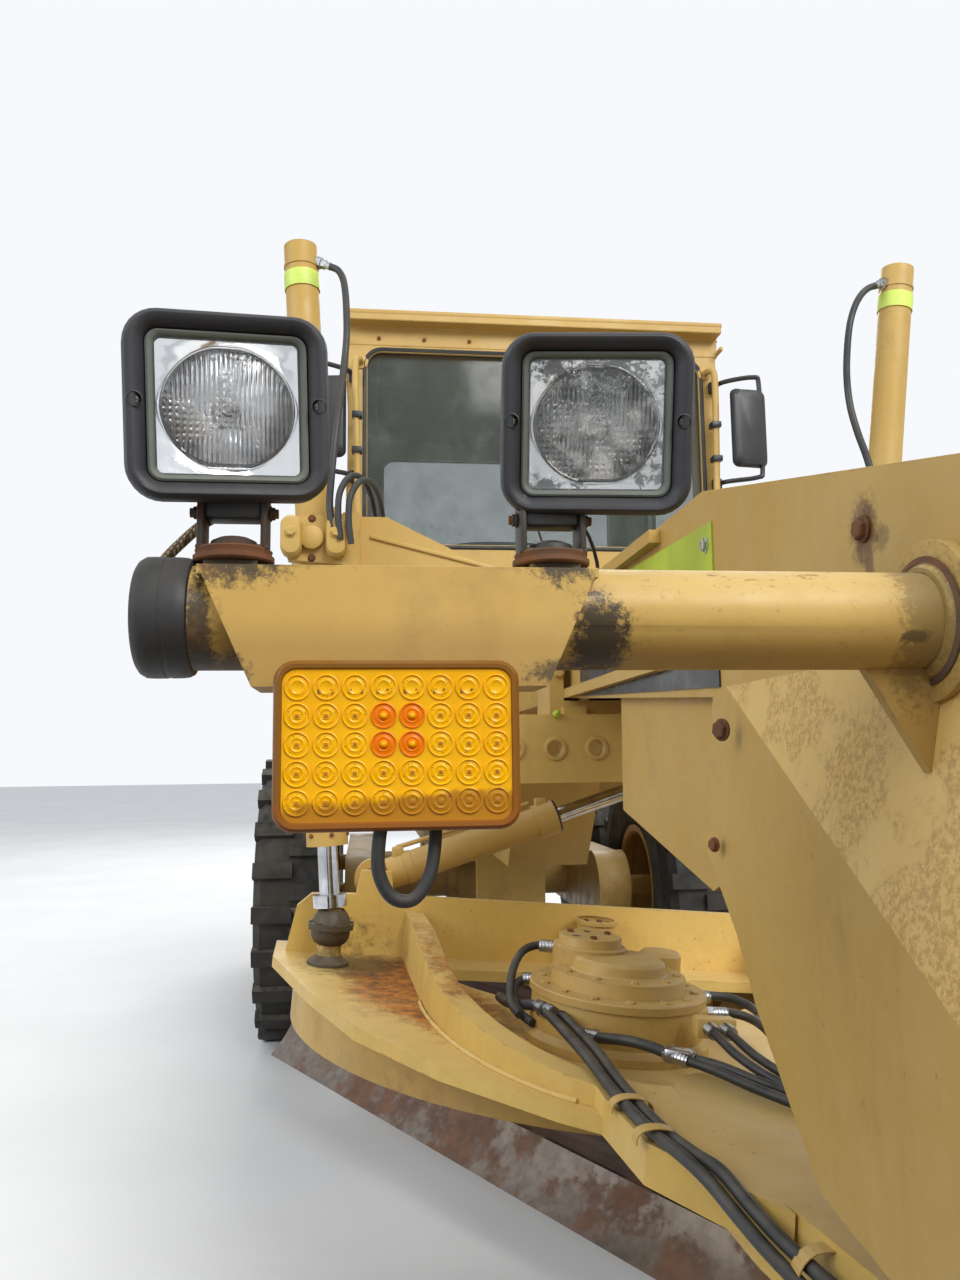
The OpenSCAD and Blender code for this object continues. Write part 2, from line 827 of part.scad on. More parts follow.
module knuckle_right() {
    knuckle(-1);
}

rod_z = wheel_z - boss_h / 2 - ear_gap - ear_t - seat_gap;

module tie_rod() {
    color(steel) from_axle() {
        across([0, arm_reach, rod_z - 28], 50, 2 * king_x - 60);
        both_sides() upright([king_x, arm_reach, rod_z - 28], 84, 56);
    }
}

// Wheels

rim_r = rim_d / 2;
hub_r = 130;

module rim(side, y) {
    color(yellow) from_axle()
        translate([side * wheel_x, y, wheel_z])
            rotate([0, side * 90, 0])
                difference() {
                    rotate_extrude() {
                        // rim with its two flanges
                        polygon([[rim_r - 24, -150], [rim_r - 14, -166],
                                 [rim_r + 22, -172], [rim_r + 22, -164],
                                 [rim_r, -156], [rim_r, 156], [rim_r + 22, 164],
                                 [rim_r + 22, 172], [rim_r - 14, 166],
                                 [rim_r - 24, 150], [rim_r - 24, 112],
                                 [rim_r - 14, 100], [rim_r - 14, -100],
                                 [rim_r - 24, -112]]);
                        // disc and hub
                        polygon([[0, 20], [hub_r, 20], [hub_r, disc_offset],
                                 [rim_r - 12, disc_offset + 24],
                                 [rim_r - 12, disc_offset + 44],
                                 [hub_r, disc_offset + 20],
                                 [hub_r - 15, disc_offset + 70],
                                 [0, disc_offset + 84]]);
                    }
                    translate([0, 0, -1])
                        cylinder(d = spindle_d + 2 * run_gap, h = disc_offset + 40);
                    // hand holes in the disc
                    for (a = [0 : 60 : 300])
                        rotate([0, 0, a]) translate([215, 0, 0]) cylinder(d = 60, h = 200);
                }
}

module tyre(side, y) {
    half = tyre_w / 2;
    crown = tyre_d / 2 - lug_h;
    color(black) from_axle()
        translate([side * wheel_x, y, wheel_z])
            rotate([0, side * 90, 0]) {
                rotate_extrude()
                    polygon([[rim_r + seat_gap, -154], [rim_r + 24, -160],
                             [rim_r + 60, -half + 12], [crown - 150, -half],
                             [crown - 40, -half + 10], [crown, -half + 45],
                             [crown, half - 45], [crown - 40, half - 10],
                             [crown - 150, half], [rim_r + 60, half - 12],
                             [rim_r + 24, 160], [rim_r + seat_gap, 154]]);
                // two staggered rows of lugs
                for (row = [0, 1])
                    translate([0, 0, row == 0 ? -half + 8 : -8])
                        linear_extrude(height = half)
                            for (k = [0 : lug_count - 1])
                                rotate([0, 0, (k + row / 2) * 360 / lug_count])
                                    translate([crown - 30, -38])
                                        square([lug_h + 29, 76]);
            }
}

module rim_front_left() {
    rim(1, 0);
}

module rim_front_right() {
    rim(-1, 0);
}

module rim_middle_left() {
    rim(1, middle_y);
}

module rim_middle_right() {
    rim(-1, middle_y);
}

module rim_rear_left() {
    rim(1, rear_y);
}

module rim_rear_right() {
    rim(-1, rear_y);
}

module tyre_front_left() {
    tyre(1, 0);
}

module tyre_front_right() {
    tyre(-1, 0);
}

module tyre_middle_left() {
    tyre(1, middle_y);
}

module tyre_middle_right() {
    tyre(-1, middle_y);
}

module tyre_rear_left() {
    tyre(1, rear_y);
}

module tyre_rear_right() {
    tyre(-1, rear_y);
}

// Drawbar, in its own frame with the ball at the origin

beam_bottom = -90;
beam_up = 10;
tongue_w = 300;
tongue_end = 1000;
cross_y = 1980;
plate_y = 2110;
plate_t = 30;
ball_rise = 74;
ball_d = 90;
ball_seat_d = 150;
neck_d = 90;
yoke_r = 700;
yoke_top = -20;
yoke_t = 26;
yoke_low = yoke_top - yoke_t;
ring_top = yoke_low - 10;
ring_t = 100;
ring_low = ring_top - ring_t;
ring_inner = circle_r - 130;
shoe_r = ring_inner - 4;
shoe_drop = 10;
drive_x = -130;
drive_y = circle_reach - 630;
shift_x = -590;
shift_y = plate_y + plate_t + 40;
shift_z = 165;
shift_pin_d = 40;

// curved arms that join the tongue to the cross plate
arm_t = 48;
arm_y = 1640;
arm_half_l = 640;
arm_half_w = 348;
arm_low_end = 10;
arm_high_end = 95;

// plan of the right side of an arm, inset by a distance; angles run from its side to its front
function arm_curve(inset, last) =
    [for (a = [0 : last / 12 : last])
        [-tongue_w / 2 - (arm_half_w - inset) * cos(a), arm_y - (arm_half_l - inset) * sin(a)]];

// half of the yoke plate's outline, from the tongue to its rear corner
yoke_edge = [
    [-tongue_w / 2 + 10, 900], [-330, 1046], [-506, 1229], [-646, 1443], [-744, 1714],
    [-837, 2041], [-837, 2240], [0, 2240], [0, 900]
];

module drawbar() {
    color(yellow) in_drawbar() {
        sphere(d = ball_seat_d);
        bar([0, 40, 0], [0, 220, -25], neck_d);
        // tongue, a box beam with a round end
        translate([0, 0, beam_bottom])
            linear_extrude(height = beam_up - beam_bottom) {
                polygon([[-85, 170], [85, 170], [tongue_w / 2, 700],
                         [tongue_w / 2, tongue_end], [-tongue_w / 2, tongue_end],
                         [-tongue_w / 2, 700]]);
                translate([0, tongue_end]) circle(d = tongue_w);
            }
        both_sides() drawbar_arm();
        // yoke plate over the circle, with its round opening
        difference() {
            translate([0, 0, yoke_low])
                linear_extrude(height = yoke_t) {
                    polygon(yoke_edge);
                    mirror([1, 0]) polygon(yoke_edge);
                    translate([0, circle_reach]) circle(yoke_r, $fn = 180);
                }
            translate([0, circle_reach, yoke_low - 1])
                cylinder(r = yoke_r - 260, h = 200, $fn = 180);
        }
        // bar across the opening, under the swivel
        block([-yoke_r + 200, circle_reach - 70, yoke_low],
              [yoke_r - 200, circle_reach + 70, yoke_top]);
        // upright cross plate
        front_cut([[-810, yoke_top - 5], [810, yoke_top - 5], [790, 95], [755, 128],
                   [600, 135], [-600, 135], [-755, 128], [-790, 95]],
                  plate_y, plate_y + plate_t);
        // stands with the balls of the lift cylinders
        for (s = [-1, 1]) {
            upright([s * lift_ball_x, cross_y, 10], 60, 80);
            translate([s * lift_ball_x, cross_y, ball_rise]) sphere(d = ball_d);
        }
        // shoes that hold the circle from below
        for (a = [45 : 90 : 315])
            translate([0, circle_reach, 0])
                rotate([0, 0, a]) {
                    block([shoe_r - 50, -50, ring_low - shoe_drop],
                          [shoe_r, 50, yoke_low + 5]);
                    block([shoe_r - 10, -50, ring_low - shoe_drop],
                          [shoe_r + 22, 50, ring_low - 3]);
                }
        // ear and pin of the centre shift cylinder
        front_cut([[shift_x - 60, 60], [shift_x + 60, 60], [shift_x + 40, shift_z + 30],
                   [shift_x - 40, shift_z + 30]], plate_y, plate_y + plate_t);
        along([shift_x, shift_y, shift_z], shift_pin_d, 90);
    }
}

// upright rib that curves from the tongue's side to the cross plate
module drawbar_arm() {
    intersection() {
        translate([0, 0, yoke_low])
            linear_extrude(height = 200)
                difference() {
                    polygon(concat([[-tongue_w / 2 - arm_half_w - 8, plate_y + 5]],
                                   arm_curve(0, 69),
                                   [[-262, 827], [-tongue_w / 2 + 5, 620],
                                    [-tongue_w / 2 + 5, plate_y + 5]]));
                    polygon(concat([[-tongue_w / 2 - arm_half_w + arm_t - 8, plate_y + 6]],
                                   arm_curve(arm_t, 88),
                                   [[0, arm_y - arm_half_l + arm_t], [0, plate_y + 6]]));
                }
        side_cut([[600, beam_bottom], [600, arm_low_end], [1000, arm_low_end],
                  [1850, arm_high_end], [plate_y + 10, arm_high_end],
                  [plate_y + 10, beam_bottom]], 1400);
    }
}

module circle_drive() {
    color(rust) in_drawbar() {
        // stepped gearbox at the front of the circle
        translate([drive_x, drive_y, yoke_top + seat_gap]) cylinder(d = 340, h = 105);
        translate([drive_x, drive_y, yoke_top + 100]) cylinder(d = 268, h = 34);
        translate([drive_x - 45, drive_y + 60, yoke_top + 130]) cylinder(d = 130, h = 60);
        // swivel over the middle of the circle
        translate([0, circle_reach, yoke_top + seat_gap]) cylinder(d = 100, h = 120);
    }
}

// Circle, in its own frame

arm_x = 520;
arm_w = 50;
pivot_y = 440;
pivot_z = -600;
pivot_d = 50;
pivot_r = 52;
tip_top = [0, 650, -205];
tip_low = [0, 442, -350];
tip_pin_d = 36;
blade_top = ring_low - 25;
blade_mid_z = blade_top - blade_h / 2;
blade_mid_y = 300;
arc_y = blade_mid_y - blade_r;
edge_h = 150;
edge_t = 16;
rail_y = 345;
rail_w = 40;
rail_top_z = blade_mid_z + 125;
rail_low_z = blade_mid_z - 135;
jaw_t = 22;
jaw_y = rail_y + 5;
jaw_lip = blade_mid_y + blade_t + 4;
slide_gap = 0.5;

// a curved plate across the blade, from radius r0 to r1 and height z0 to z1
module curved_plate(r0, r1, z0, z1, l) {
    rotate([90, 0, 90])
        linear_extrude(height = l, center = true)
            intersection() {
                translate([arc_y, blade_mid_z])
                    difference() {
                        circle(r1, $fn = 128);
                        circle(r0, $fn = 128);
                    }
                translate([arc_y + 100, z0]) square([blade_r, z1 - z0]);
            }
}

module blade_circle() {
    color(rust) in_circle() {
        // ring with its toothed inner side
        translate([0, 0, ring_low])
            difference() {
                cylinder(r = circle_r, h = ring_t, $fn = 96);
                translate([0, 0, -1]) cylinder(r = ring_inner, h = ring_t + 2, $fn = 96);
            }
        for (s = [-1, 1]) {
            // arms down to the blade's pivots
            difference() {
                translate([s * arm_x, 0, 0])
                    side_cut([[466, ring_low + 1], [576, ring_low + 1], [600, -300],
                              [520, -610], [pivot_y + 20, -655], [pivot_y - 20, -655],
                              [pivot_y - 40, -560], [440, -300]], arm_w);
                across([s * arm_x, pivot_y, pivot_z], pivot_d - 2, arm_w + 2);
            }
            across([s * arm_x, pivot_y, pivot_z], pivot_d, arm_w + 68);
            // ears of the tip cylinder
            translate([s * 56, 0, 0])
                side_cut([[600, ring_low - 10], [660, ring_low + 1], [740, ring_low + 1],
                          [700, -250], [620, -250]], 20);
        }
        across(tip_top, tip_pin_d, 132);
    }
}

// Tilt brackets

module tilt_bracket(s) {
    x = s * arm_x;
    difference() {
        union() {
            // back plate
            block([x - 75, jaw_y, rail_low_z - 45], [x + 75, jaw_y + 22, rail_top_z + 45]);
            // jaws around both rails
            for (z = [rail_top_z, rail_low_z]) {
                block([x - 75, jaw_lip, z + rail_w / 2 + slide_gap],
                      [x + 75, jaw_y + 5, z + rail_w / 2 + jaw_t]);
                block([x - 75, jaw_lip, z - rail_w / 2 - jaw_t],
                      [x + 75, jaw_y + 5, z - rail_w / 2 - slide_gap]);
            }
            // ears around the pivot
            for (e = [-1, 1])
                translate([x + e * (arm_w / 2 + 5 + 11), 0, 0]) {
                    across([0, pivot_y, pivot_z], 2 * pivot_r, 22);
                    side_cut([[jaw_y + 10, pivot_z + 60], [pivot_y, pivot_z + pivot_r],
                              [pivot_y, pivot_z - pivot_r], [jaw_y + 10, pivot_z - 60]], 22);
                }
        }
        across([x, pivot_y, pivot_z], pivot_d + 2 * run_gap, 400);
    }
}

module tilt_brackets() {
    color(yellow) in_circle() {
        tilt_bracket(-1);
        tilt_bracket(1);
        // tube that joins the brackets
        across([0, jaw_y + 30, -345], 50, 2 * arm_x - 140);
        // ears for the rod of the tip cylinder
        for (s = [-1, 1])
            translate([s * 40, 0, 0])
                difference() {
                    union() {
                        across([0, tip_low[1], tip_low[2]], 70, 20);
                        side_cut([[jaw_y + 10, -315], [tip_low[1], -315],
                                  [tip_low[1], -385], [jaw_y + 10, -375]], 20);
                    }
                }
        across(tip_low, tip_pin_d - 8, 90);
        // barrel that slides the blade
        across([0, jaw_y + 70, rail_low_z + 66], 80, 2 * arm_x - 150);
        for (s = [-1, 1])
            block([s * 300 - 15, jaw_y + 20, rail_low_z + 30],
                  [s * 300 + 15, jaw_y + 75, rail_top_z - 40]);
    }
}

module moldboard() {
    color(rust) in_circle() translate([-blade_shift, 0, 0]) {
        curved_plate(blade_r, blade_r + blade_t, blade_top - blade_h + 70, blade_top, blade_l);
        // rails along the back
        for (z = [rail_top_z, rail_low_z])
            block([-blade_l / 2 + 200, 286, z - rail_w / 2],
                  [blade_l / 2 - 200, rail_y, z + rail_w / 2]);
    }
}

module cutting_edge() {
    color(steel) in_circle() translate([-blade_shift, 0, 0])
        curved_plate(blade_r - edge_t, blade_r - seat_gap, blade_top - blade_h,
                     blade_top - blade_h + edge_h, blade_l);
}

// Lift cylinders

barrel_up = 850;
barrel_down = 760;
rod_in = 270;

function lift_top(side) =
    [side * (side < 0 ? trunnion_right : trunnion_left), saddle_y, trunnion_z];
function lift_low(side) = drawbar_point([side * lift_ball_x, cross_y, ball_rise]);
function lift_way(side) =
    (lift_low(side) - lift_top(side)) / norm(lift_low(side) - lift_top(side));

module lift_barrel(side) {
    t = lift_top(side);
    w = lift_way(side);
    color(yellow) from_axle()
        difference() {
            union() {
                bar(t - w * barrel_up, t + w * barrel_down, lift_d);
                // bands at the top and at the gland
                bar(t - w * (barrel_up - 82), t - w * (barrel_up - 130), lift_d + 5);
                bar(t + w * (barrel_down - 60), t + w * (barrel_down + 12), lift_d + 14);
                // trunnion collar and pins
                bar(t - w * 70, t + w * 70, lift_d + 30);
                along(t, 50, 236);
            }
            bar(t + w * 200, t + w * (barrel_down + 20), lift_rod_d + 2 * run_gap);
        }
}

module lift_rod(side) {
    t = lift_top(side);
    w = lift_way(side);
    low = lift_low(side);
    color(steel) from_axle() {
        bar(t + w * (barrel_down - rod_in), low - w * (ball_d / 2 + seat_gap + 20), lift_rod_d);
        bar(low - w * (ball_d / 2 + seat_gap + 30), low - w * (ball_d / 2 + seat_gap), 84);
    }
}

module lift_barrel_left() {
    lift_barrel(1);
}

module lift_barrel_right() {
    lift_barrel(-1);
}

module lift_rod_left() {
    lift_rod(1);
}

module lift_rod_right() {
    lift_rod(-1);
}

// Centre shift cylinder

ear_x = 110;
ear_y = ball_y + shift_y - 10;
ear_z = 1400;
shift_barrel_d = 84;
shift_rod_d = 44;
eye_t = 36;

function shift_low() =
    let (q = drawbar_point([shift_x, shift_y, shift_z])) [q[0], ear_y, q[2]];
function shift_high() = [ear_x, ear_y, ear_z];
function shift_way() =
    (shift_high() - shift_low()) / norm(shift_high() - shift_low());

// ear and pin under the saddle
module shift_ear() {
    block([ear_x - 45, saddle_y + 60, beam_low - 50], [ear_x + 45, ear_y + 54, beam_low - 24]);
    front_cut([[ear_x - 45, 1600], [ear_x + 45, 1600], [ear_x + 35, ear_z - 35],
               [ear_x - 35, ear_z - 35]], ear_y + 24, ear_y + 54);
    along([ear_x, ear_y + 18, ear_z], shift_pin_d, 80);
}

module shift_barrel() {
    a = shift_low();
    w = shift_way();
    color(yellow) from_axle()
        difference() {
            union() {
                bar(a + w * 40, a + w * 520, shift_barrel_d);
                bar(a + w * 470, a + w * 530, shift_barrel_d + 12);
                along(a, 110, eye_t);
            }
            bar(a + w * 130, a + w * 540, shift_rod_d + 2 * run_gap);
            along(a, shift_pin_d + 26, eye_t + 60);
        }
}

module shift_rod() {
    a = shift_low();
    b = shift_high();
    w = shift_way();
    color(steel) from_axle()
        difference() {
            union() {
                bar(a + w * 330, b - w * 30, shift_rod_d);
                along(b, 84, eye_t);
            }
            along(b, shift_pin_d + 2 * run_gap, eye_t + 60);
        }
}

// Tip cylinder

tip_d = 80;
tip_rod_d = 40;

function tip_way() = (tip_low - tip_top) / norm(tip_low - tip_top);

module tip_barrel() {
    w = tip_way();
    color(yellow) in_circle()
        difference() {
            union() {
                bar(tip_top + w * 20, tip_top + w * 195, tip_d);
                across(tip_top, 70, 60);
            }
            bar(tip_top + w * 50, tip_top + w * 200, tip_rod_d + 2 * run_gap);
            across(tip_top, tip_pin_d + 2 * run_gap, 100);
        }
}

module tip_rod() {
    w = tip_way();
    color(steel) in_circle()
        difference() {
            union() {
                bar(tip_top + w * 60, tip_low - w * 20, tip_rod_d);
                across(tip_low, 64, 50);
            }
            across(tip_low, tip_pin_d + 8, 100);
        }
}

// Rear frame

rail_low = 960;
rail_high = 1180;
artic_seat = artic_rear[2] - artic_eye_t / 2 - seat_gap;
frame_end = wheelbase + rear_overhang;
hinge_gap = 5;

module rear_frame() {
    color(yellow) from_axle() {
        difference() {
            union() {
                // hinge barrel between the lugs of the front frame
                upright([0, hinge_y, (upper_lug_z + lower_lug_z) / 2], 2 * lug_r,
                        upper_lug_z - lower_lug_z - lug_t - 2 * hinge_gap);
                // nose that widens to the rails
                translate([0, 0, rail_low])
                    linear_extrude(height = rail_high - rail_low)
                        polygon([[-95, hinge_y], [95, hinge_y], [rail_span / 2, 5420],
                                 [rail_span / 2, 5560], [-rail_span / 2, 5560],
                                 [-rail_span / 2, 5420]]);
                // rails
                for (s = [-1, 1])
                    block([s * (rail_span / 2 - 40) - 40, 5500, rail_low],
                          [s * (rail_span / 2 - 40) + 40, frame_end - 160, rail_high]);
                // pads of the articulation cylinders
                for (s = [-1, 1])
                    upright([s * artic_rear[0], artic_rear[1],
                             (rail_high - 10 + artic_seat) / 2],
                            120, artic_seat - rail_high + 10);
                // cross members
                for (y = [engine_y0 + 50, engine_y1])
                    block([-rail_span / 2, y, rail_low], [rail_span / 2, y + 160, rail_high - 40]);
                // pads on the tandem axle
                for (s = [-1, 1])
                    block([s * 260 - 60, wheelbase - 130, wheel_z + 150],
                          [s * 260 + 60, wheelbase + 130, rail_low + 10]);
                // rear bumper
                side_cut([[frame_end - 200, 900], [frame_end, 940], [frame_end, 1300],
                          [frame_end - 200, 1300]], 980);
                // tow ears
                for (z = [tow_z - 50, tow_z + 50])
                    block([-90, frame_end - 220, z - 20], [90, frame_end - 30, z + 20]);
                block([-90, frame_end - 260, tow_z - 70], [90, frame_end - 200, 960]);
            }
            upright([0, hinge_y, 1050], lug_bore - 2, 800);
            upright([0, frame_end - 90, tow_z], tow_bore, 200);
        }
        // hinge pins
        upright([0, hinge_y, upper_lug_z - 20], lug_bore, lug_t + 120);
        upright([0, hinge_y, lower_lug_z + 20], lug_bore, lug_t + 120);
    }
}

tow_bore = 52;
tow_z = 770;

engine_y0 = 6200;
engine_y1 = 7500;
engine_top = 1960;

module engine() {
    color(steel) from_axle()
        block([-rail_span / 2 + 10, engine_y0, rail_high + seat_gap],
              [rail_span / 2 - 10, engine_y1, engine_top]);
}

hood_y0 = 5480;
hood_y1 = frame_end - 60;
hood_low = 1300;
skin = 30;

hood_outline = [
    [hood_y0, hood_low], [hood_y0, hood_top - 60], [hood_y0 + 60, hood_top],
    [6900, hood_top], [hood_y1 - 120, hood_top - 160], [hood_y1, hood_top - 260],
    [hood_y1, hood_low]
];
hood_inside = [
    [hood_y0 + skin, hood_low - 10], [hood_y0 + skin, hood_top - 70],
    [hood_y0 + 72, hood_top - skin], [6895, hood_top - skin],
    [hood_y1 - 135, hood_top - 160 - skin], [hood_y1 - skin, hood_top - 275],
    [hood_y1 - skin, hood_low - 10]
];

module hood() {
    color(yellow) from_axle() {
        difference() {
            side_cut(hood_outline, hood_w);
            side_cut(hood_inside, hood_w - 2 * skin);
            // louvres in the sides
            for (y = [6100, 6900], k = [0 : 6])
                block([-hood_w, y, 1560 + k * 70], [hood_w, y + 560, 1590 + k * 70]);
            // grille openings at the rear
            for (k = [0 : 9])
                block([-430, hood_y1 - 100, 1420 + k * 62], [430, hood_y1 + 10, 1454 + k * 62]);
        }
        // sills that seat the hood on the frame
        for (s = [-1, 1])
            block([s * 390 - 125, hood_y0 + 170, rail_high + seat_gap],
                  [s * 390 + 125, hood_y0 + 500, hood_low + 20]);
        for (s = [-1, 1])
            block([s * 390 - 125, hood_y1 - 400, 1300 + seat_gap],
                  [s * 390 + 125, hood_y1 - 10, hood_low + 40]);
    }
}

pipe_x = -280;
pipe_y = engine_y0 + 150;
cleaner_x = 240;
cleaner_y = engine_y0 + 100;

module exhaust() {
    color(steel) from_axle() {
        translate([pipe_x, pipe_y, hood_top + seat_gap]) cylinder(d = 150, h = 330);
        translate([pipe_x, pipe_y, hood_top + 320]) cylinder(d = 90, h = 260);
        // air cleaner cap
        translate([cleaner_x, cleaner_y, hood_top + seat_gap]) cylinder(d = 110, h = 120);
        translate([cleaner_x, cleaner_y, hood_top + 115]) cylinder(d = 260, h = 130);
    }
}

module rear_axle() {
    color(yellow) from_axle() {
        across([0, wheelbase, wheel_z], 290, 1240);
        // differential housing, stepped down to both sides
        across([0, wheelbase, wheel_z], 380, 200);
        across([0, wheelbase, wheel_z], 330, 320);
        for (s = [-1, 1])
            block([s * 260 - 60, wheelbase - 130, wheel_z + 90],
                  [s * 260 + 60, wheelbase + 130, wheel_z + 150 - seat_gap]);
        for (s = [-1, 1]) {
            // tandem case
            translate([s * 700, wheelbase, wheel_z]) {
                for (e = [-1, 1])
                    across([0, e * tandem_pitch / 2, 0], 400, 180);
                block([-90, -tandem_pitch / 2, -186], [90, tandem_pitch / 2, 186]);
            }
            // spindles
            for (e = [-1, 1])
                across([s * (700 + spindle_end) / 2, wheelbase + e * tandem_pitch / 2, wheel_z],
                       spindle_d, spindle_end - 700);
        }
    }
}

module rear_lamps() {
    color(black) from_axle()
        for (s = [-1, 1])
            translate([s * 380, hood_y1 + 20, 1400])
                rounded_front(130, 90, 20, -20 + seat_gap, 30);
}

// Articulation cylinders

function artic_way(s) =
    let (f = [s * artic_front[0], artic_front[1], artic_front[2]],
         r = [s * artic_rear[0], artic_rear[1], artic_rear[2]])
    (r - f) / norm(r - f);

module artic_barrel(s) {
    f = [s * artic_front[0], artic_front[1], artic_front[2]];
    w = artic_way(s);
    color(yellow) from_axle()
        difference() {
            union() {
                bar(f + w * 66, f + w * 620, artic_d);
                bar(f, f + w * 80, 40);
                bar(f + w * 570, f + w * 630, artic_d + 12);
                upright(f, 100, artic_eye_t);
            }
            bar(f + w * 150, f + w * 640, artic_rod_d + 2 * run_gap);
            upright(f, artic_pin_d + 2 * run_gap, 200);
        }
}

module artic_rod(s) {
    f = [s * artic_front[0], artic_front[1], artic_front[2]];
    r = [s * artic_rear[0], artic_rear[1], artic_rear[2]];
    w = artic_way(s);
    color(steel) from_axle() {
        bar(f + w * 430, r - w * 20, artic_rod_d);
        upright(r, 90, artic_eye_t);
        upright(r + [0, 0, 20], 44, artic_eye_t);
    }
}

module artic_barrel_left() {
    artic_barrel(1);
}

module artic_barrel_right() {
    artic_barrel(-1);
}

module artic_rod_left() {
    artic_rod(1);
}

module artic_rod_right() {
    artic_rod(-1);
}

// Output

front_frame();
light_bars();
work_lamps();
marker_lamps();
saddle();
cab_frame();
cab_roof();
cab_glass();
seat();
console();
mirrors();
grab_rails();
front_axle();
door_left();
door_right();
door_glass_left();
door_glass_right();
knuckle_left();
knuckle_right();
tie_rod();
rim_front_left();
rim_front_right();
tyre_front_left();
tyre_front_right();
rim_middle_left();
rim_middle_right();
tyre_middle_left();
tyre_middle_right();
rim_rear_left();
rim_rear_right();
tyre_rear_left();
tyre_rear_right();
drawbar();
circle_drive();
blade_circle();
tilt_brackets();
moldboard();
cutting_edge();
lift_barrel_left();
lift_barrel_right();
lift_rod_left();
lift_rod_right();
shift_barrel();
shift_rod();
tip_barrel();
tip_rod();
rear_frame();
engine();
hood();
exhaust();
rear_axle();
rear_lamps();
artic_barrel_left();
artic_barrel_right();
artic_rod_left();
artic_rod_right();
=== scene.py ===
# Looks of a motor grader with a lamp bar on each side of its front frame.
import random
from math import cos, exp, pi, radians, sin

import bmesh
import bpy
from mathutils import Matrix, Vector


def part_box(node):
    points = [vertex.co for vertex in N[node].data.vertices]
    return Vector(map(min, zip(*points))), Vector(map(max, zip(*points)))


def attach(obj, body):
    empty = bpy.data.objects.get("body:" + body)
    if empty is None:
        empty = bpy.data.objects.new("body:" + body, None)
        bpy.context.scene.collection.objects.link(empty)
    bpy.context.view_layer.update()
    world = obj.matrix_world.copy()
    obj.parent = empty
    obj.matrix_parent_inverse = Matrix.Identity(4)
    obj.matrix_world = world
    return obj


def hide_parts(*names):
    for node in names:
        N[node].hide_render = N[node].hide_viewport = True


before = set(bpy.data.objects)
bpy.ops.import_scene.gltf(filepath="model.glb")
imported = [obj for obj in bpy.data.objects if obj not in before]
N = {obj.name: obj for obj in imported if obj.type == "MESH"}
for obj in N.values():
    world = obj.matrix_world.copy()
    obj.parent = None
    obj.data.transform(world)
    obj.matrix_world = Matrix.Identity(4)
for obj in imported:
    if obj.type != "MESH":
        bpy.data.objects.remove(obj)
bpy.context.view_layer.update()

rng = random.Random(7)
AY = -3.78          # the front axle's place along the frame
SC = bpy.context.scene
SC.view_settings.view_transform = "Standard"


def turned_by(degrees, axis):
    return Matrix.Rotation(radians(degrees), 4, axis)


def vec(x, y, z):
    return Vector((x, y, z))


# Camera
YAW, PITCH, ROLL = radians(6.717), radians(6.856), radians(0.676)
cam_data = bpy.data.cameras.new("camera")
cam_data.sensor_width = 36
cam_data.lens = 973.8 / 1280 * 36
cam_data.clip_start, cam_data.clip_end = 0.03, 200
cam = bpy.data.objects.new("camera", cam_data)
SC.collection.objects.link(cam)
SC.camera = cam
flat = vec(sin(YAW), cos(YAW), 0)
right = vec(cos(YAW), -sin(YAW), 0)
ahead = flat * cos(PITCH) + vec(0, 0, sin(PITCH))
over = vec(0, 0, cos(PITCH)) - flat * sin(PITCH)
cr = right * cos(ROLL) - over * sin(ROLL)
cu = right * sin(ROLL) + over * cos(ROLL)
cam.matrix_world = Matrix((
    (cr.x, cu.x, -ahead.x, -0.678), (cr.y, cu.y, -ahead.y, AY + 0.0266),
    (cr.z, cu.z, -ahead.z, 1.486), (0, 0, 0, 1)))


# Material nodes
def srgb(r, g, b, a=1.0):
    def c(v):
        v /= 255
        return v / 12.92 if v <= 0.04045 else ((v + 0.055) / 1.055) ** 2.4
    return (c(r), c(g), c(b), a)


def shade(col, k):
    return tuple(min(1, x * k) for x in col[:3]) + (1,)


def node(tree, kind, inputs=(), out=0, **settings):
    """Adds a shader node with its settings and inputs, and returns one of its outputs."""
    n = tree.nodes.new("ShaderNode" + kind)
    for k, v in settings.items():
        setattr(n, k, v)
    for k, v in dict(inputs).items():
        put(tree, n.inputs[k], v)
    return n.outputs[out]


def put(tree, node_input, value):
    if isinstance(value, bpy.types.NodeSocket):
        tree.links.new(value, node_input)
    else:
        node_input.default_value = value


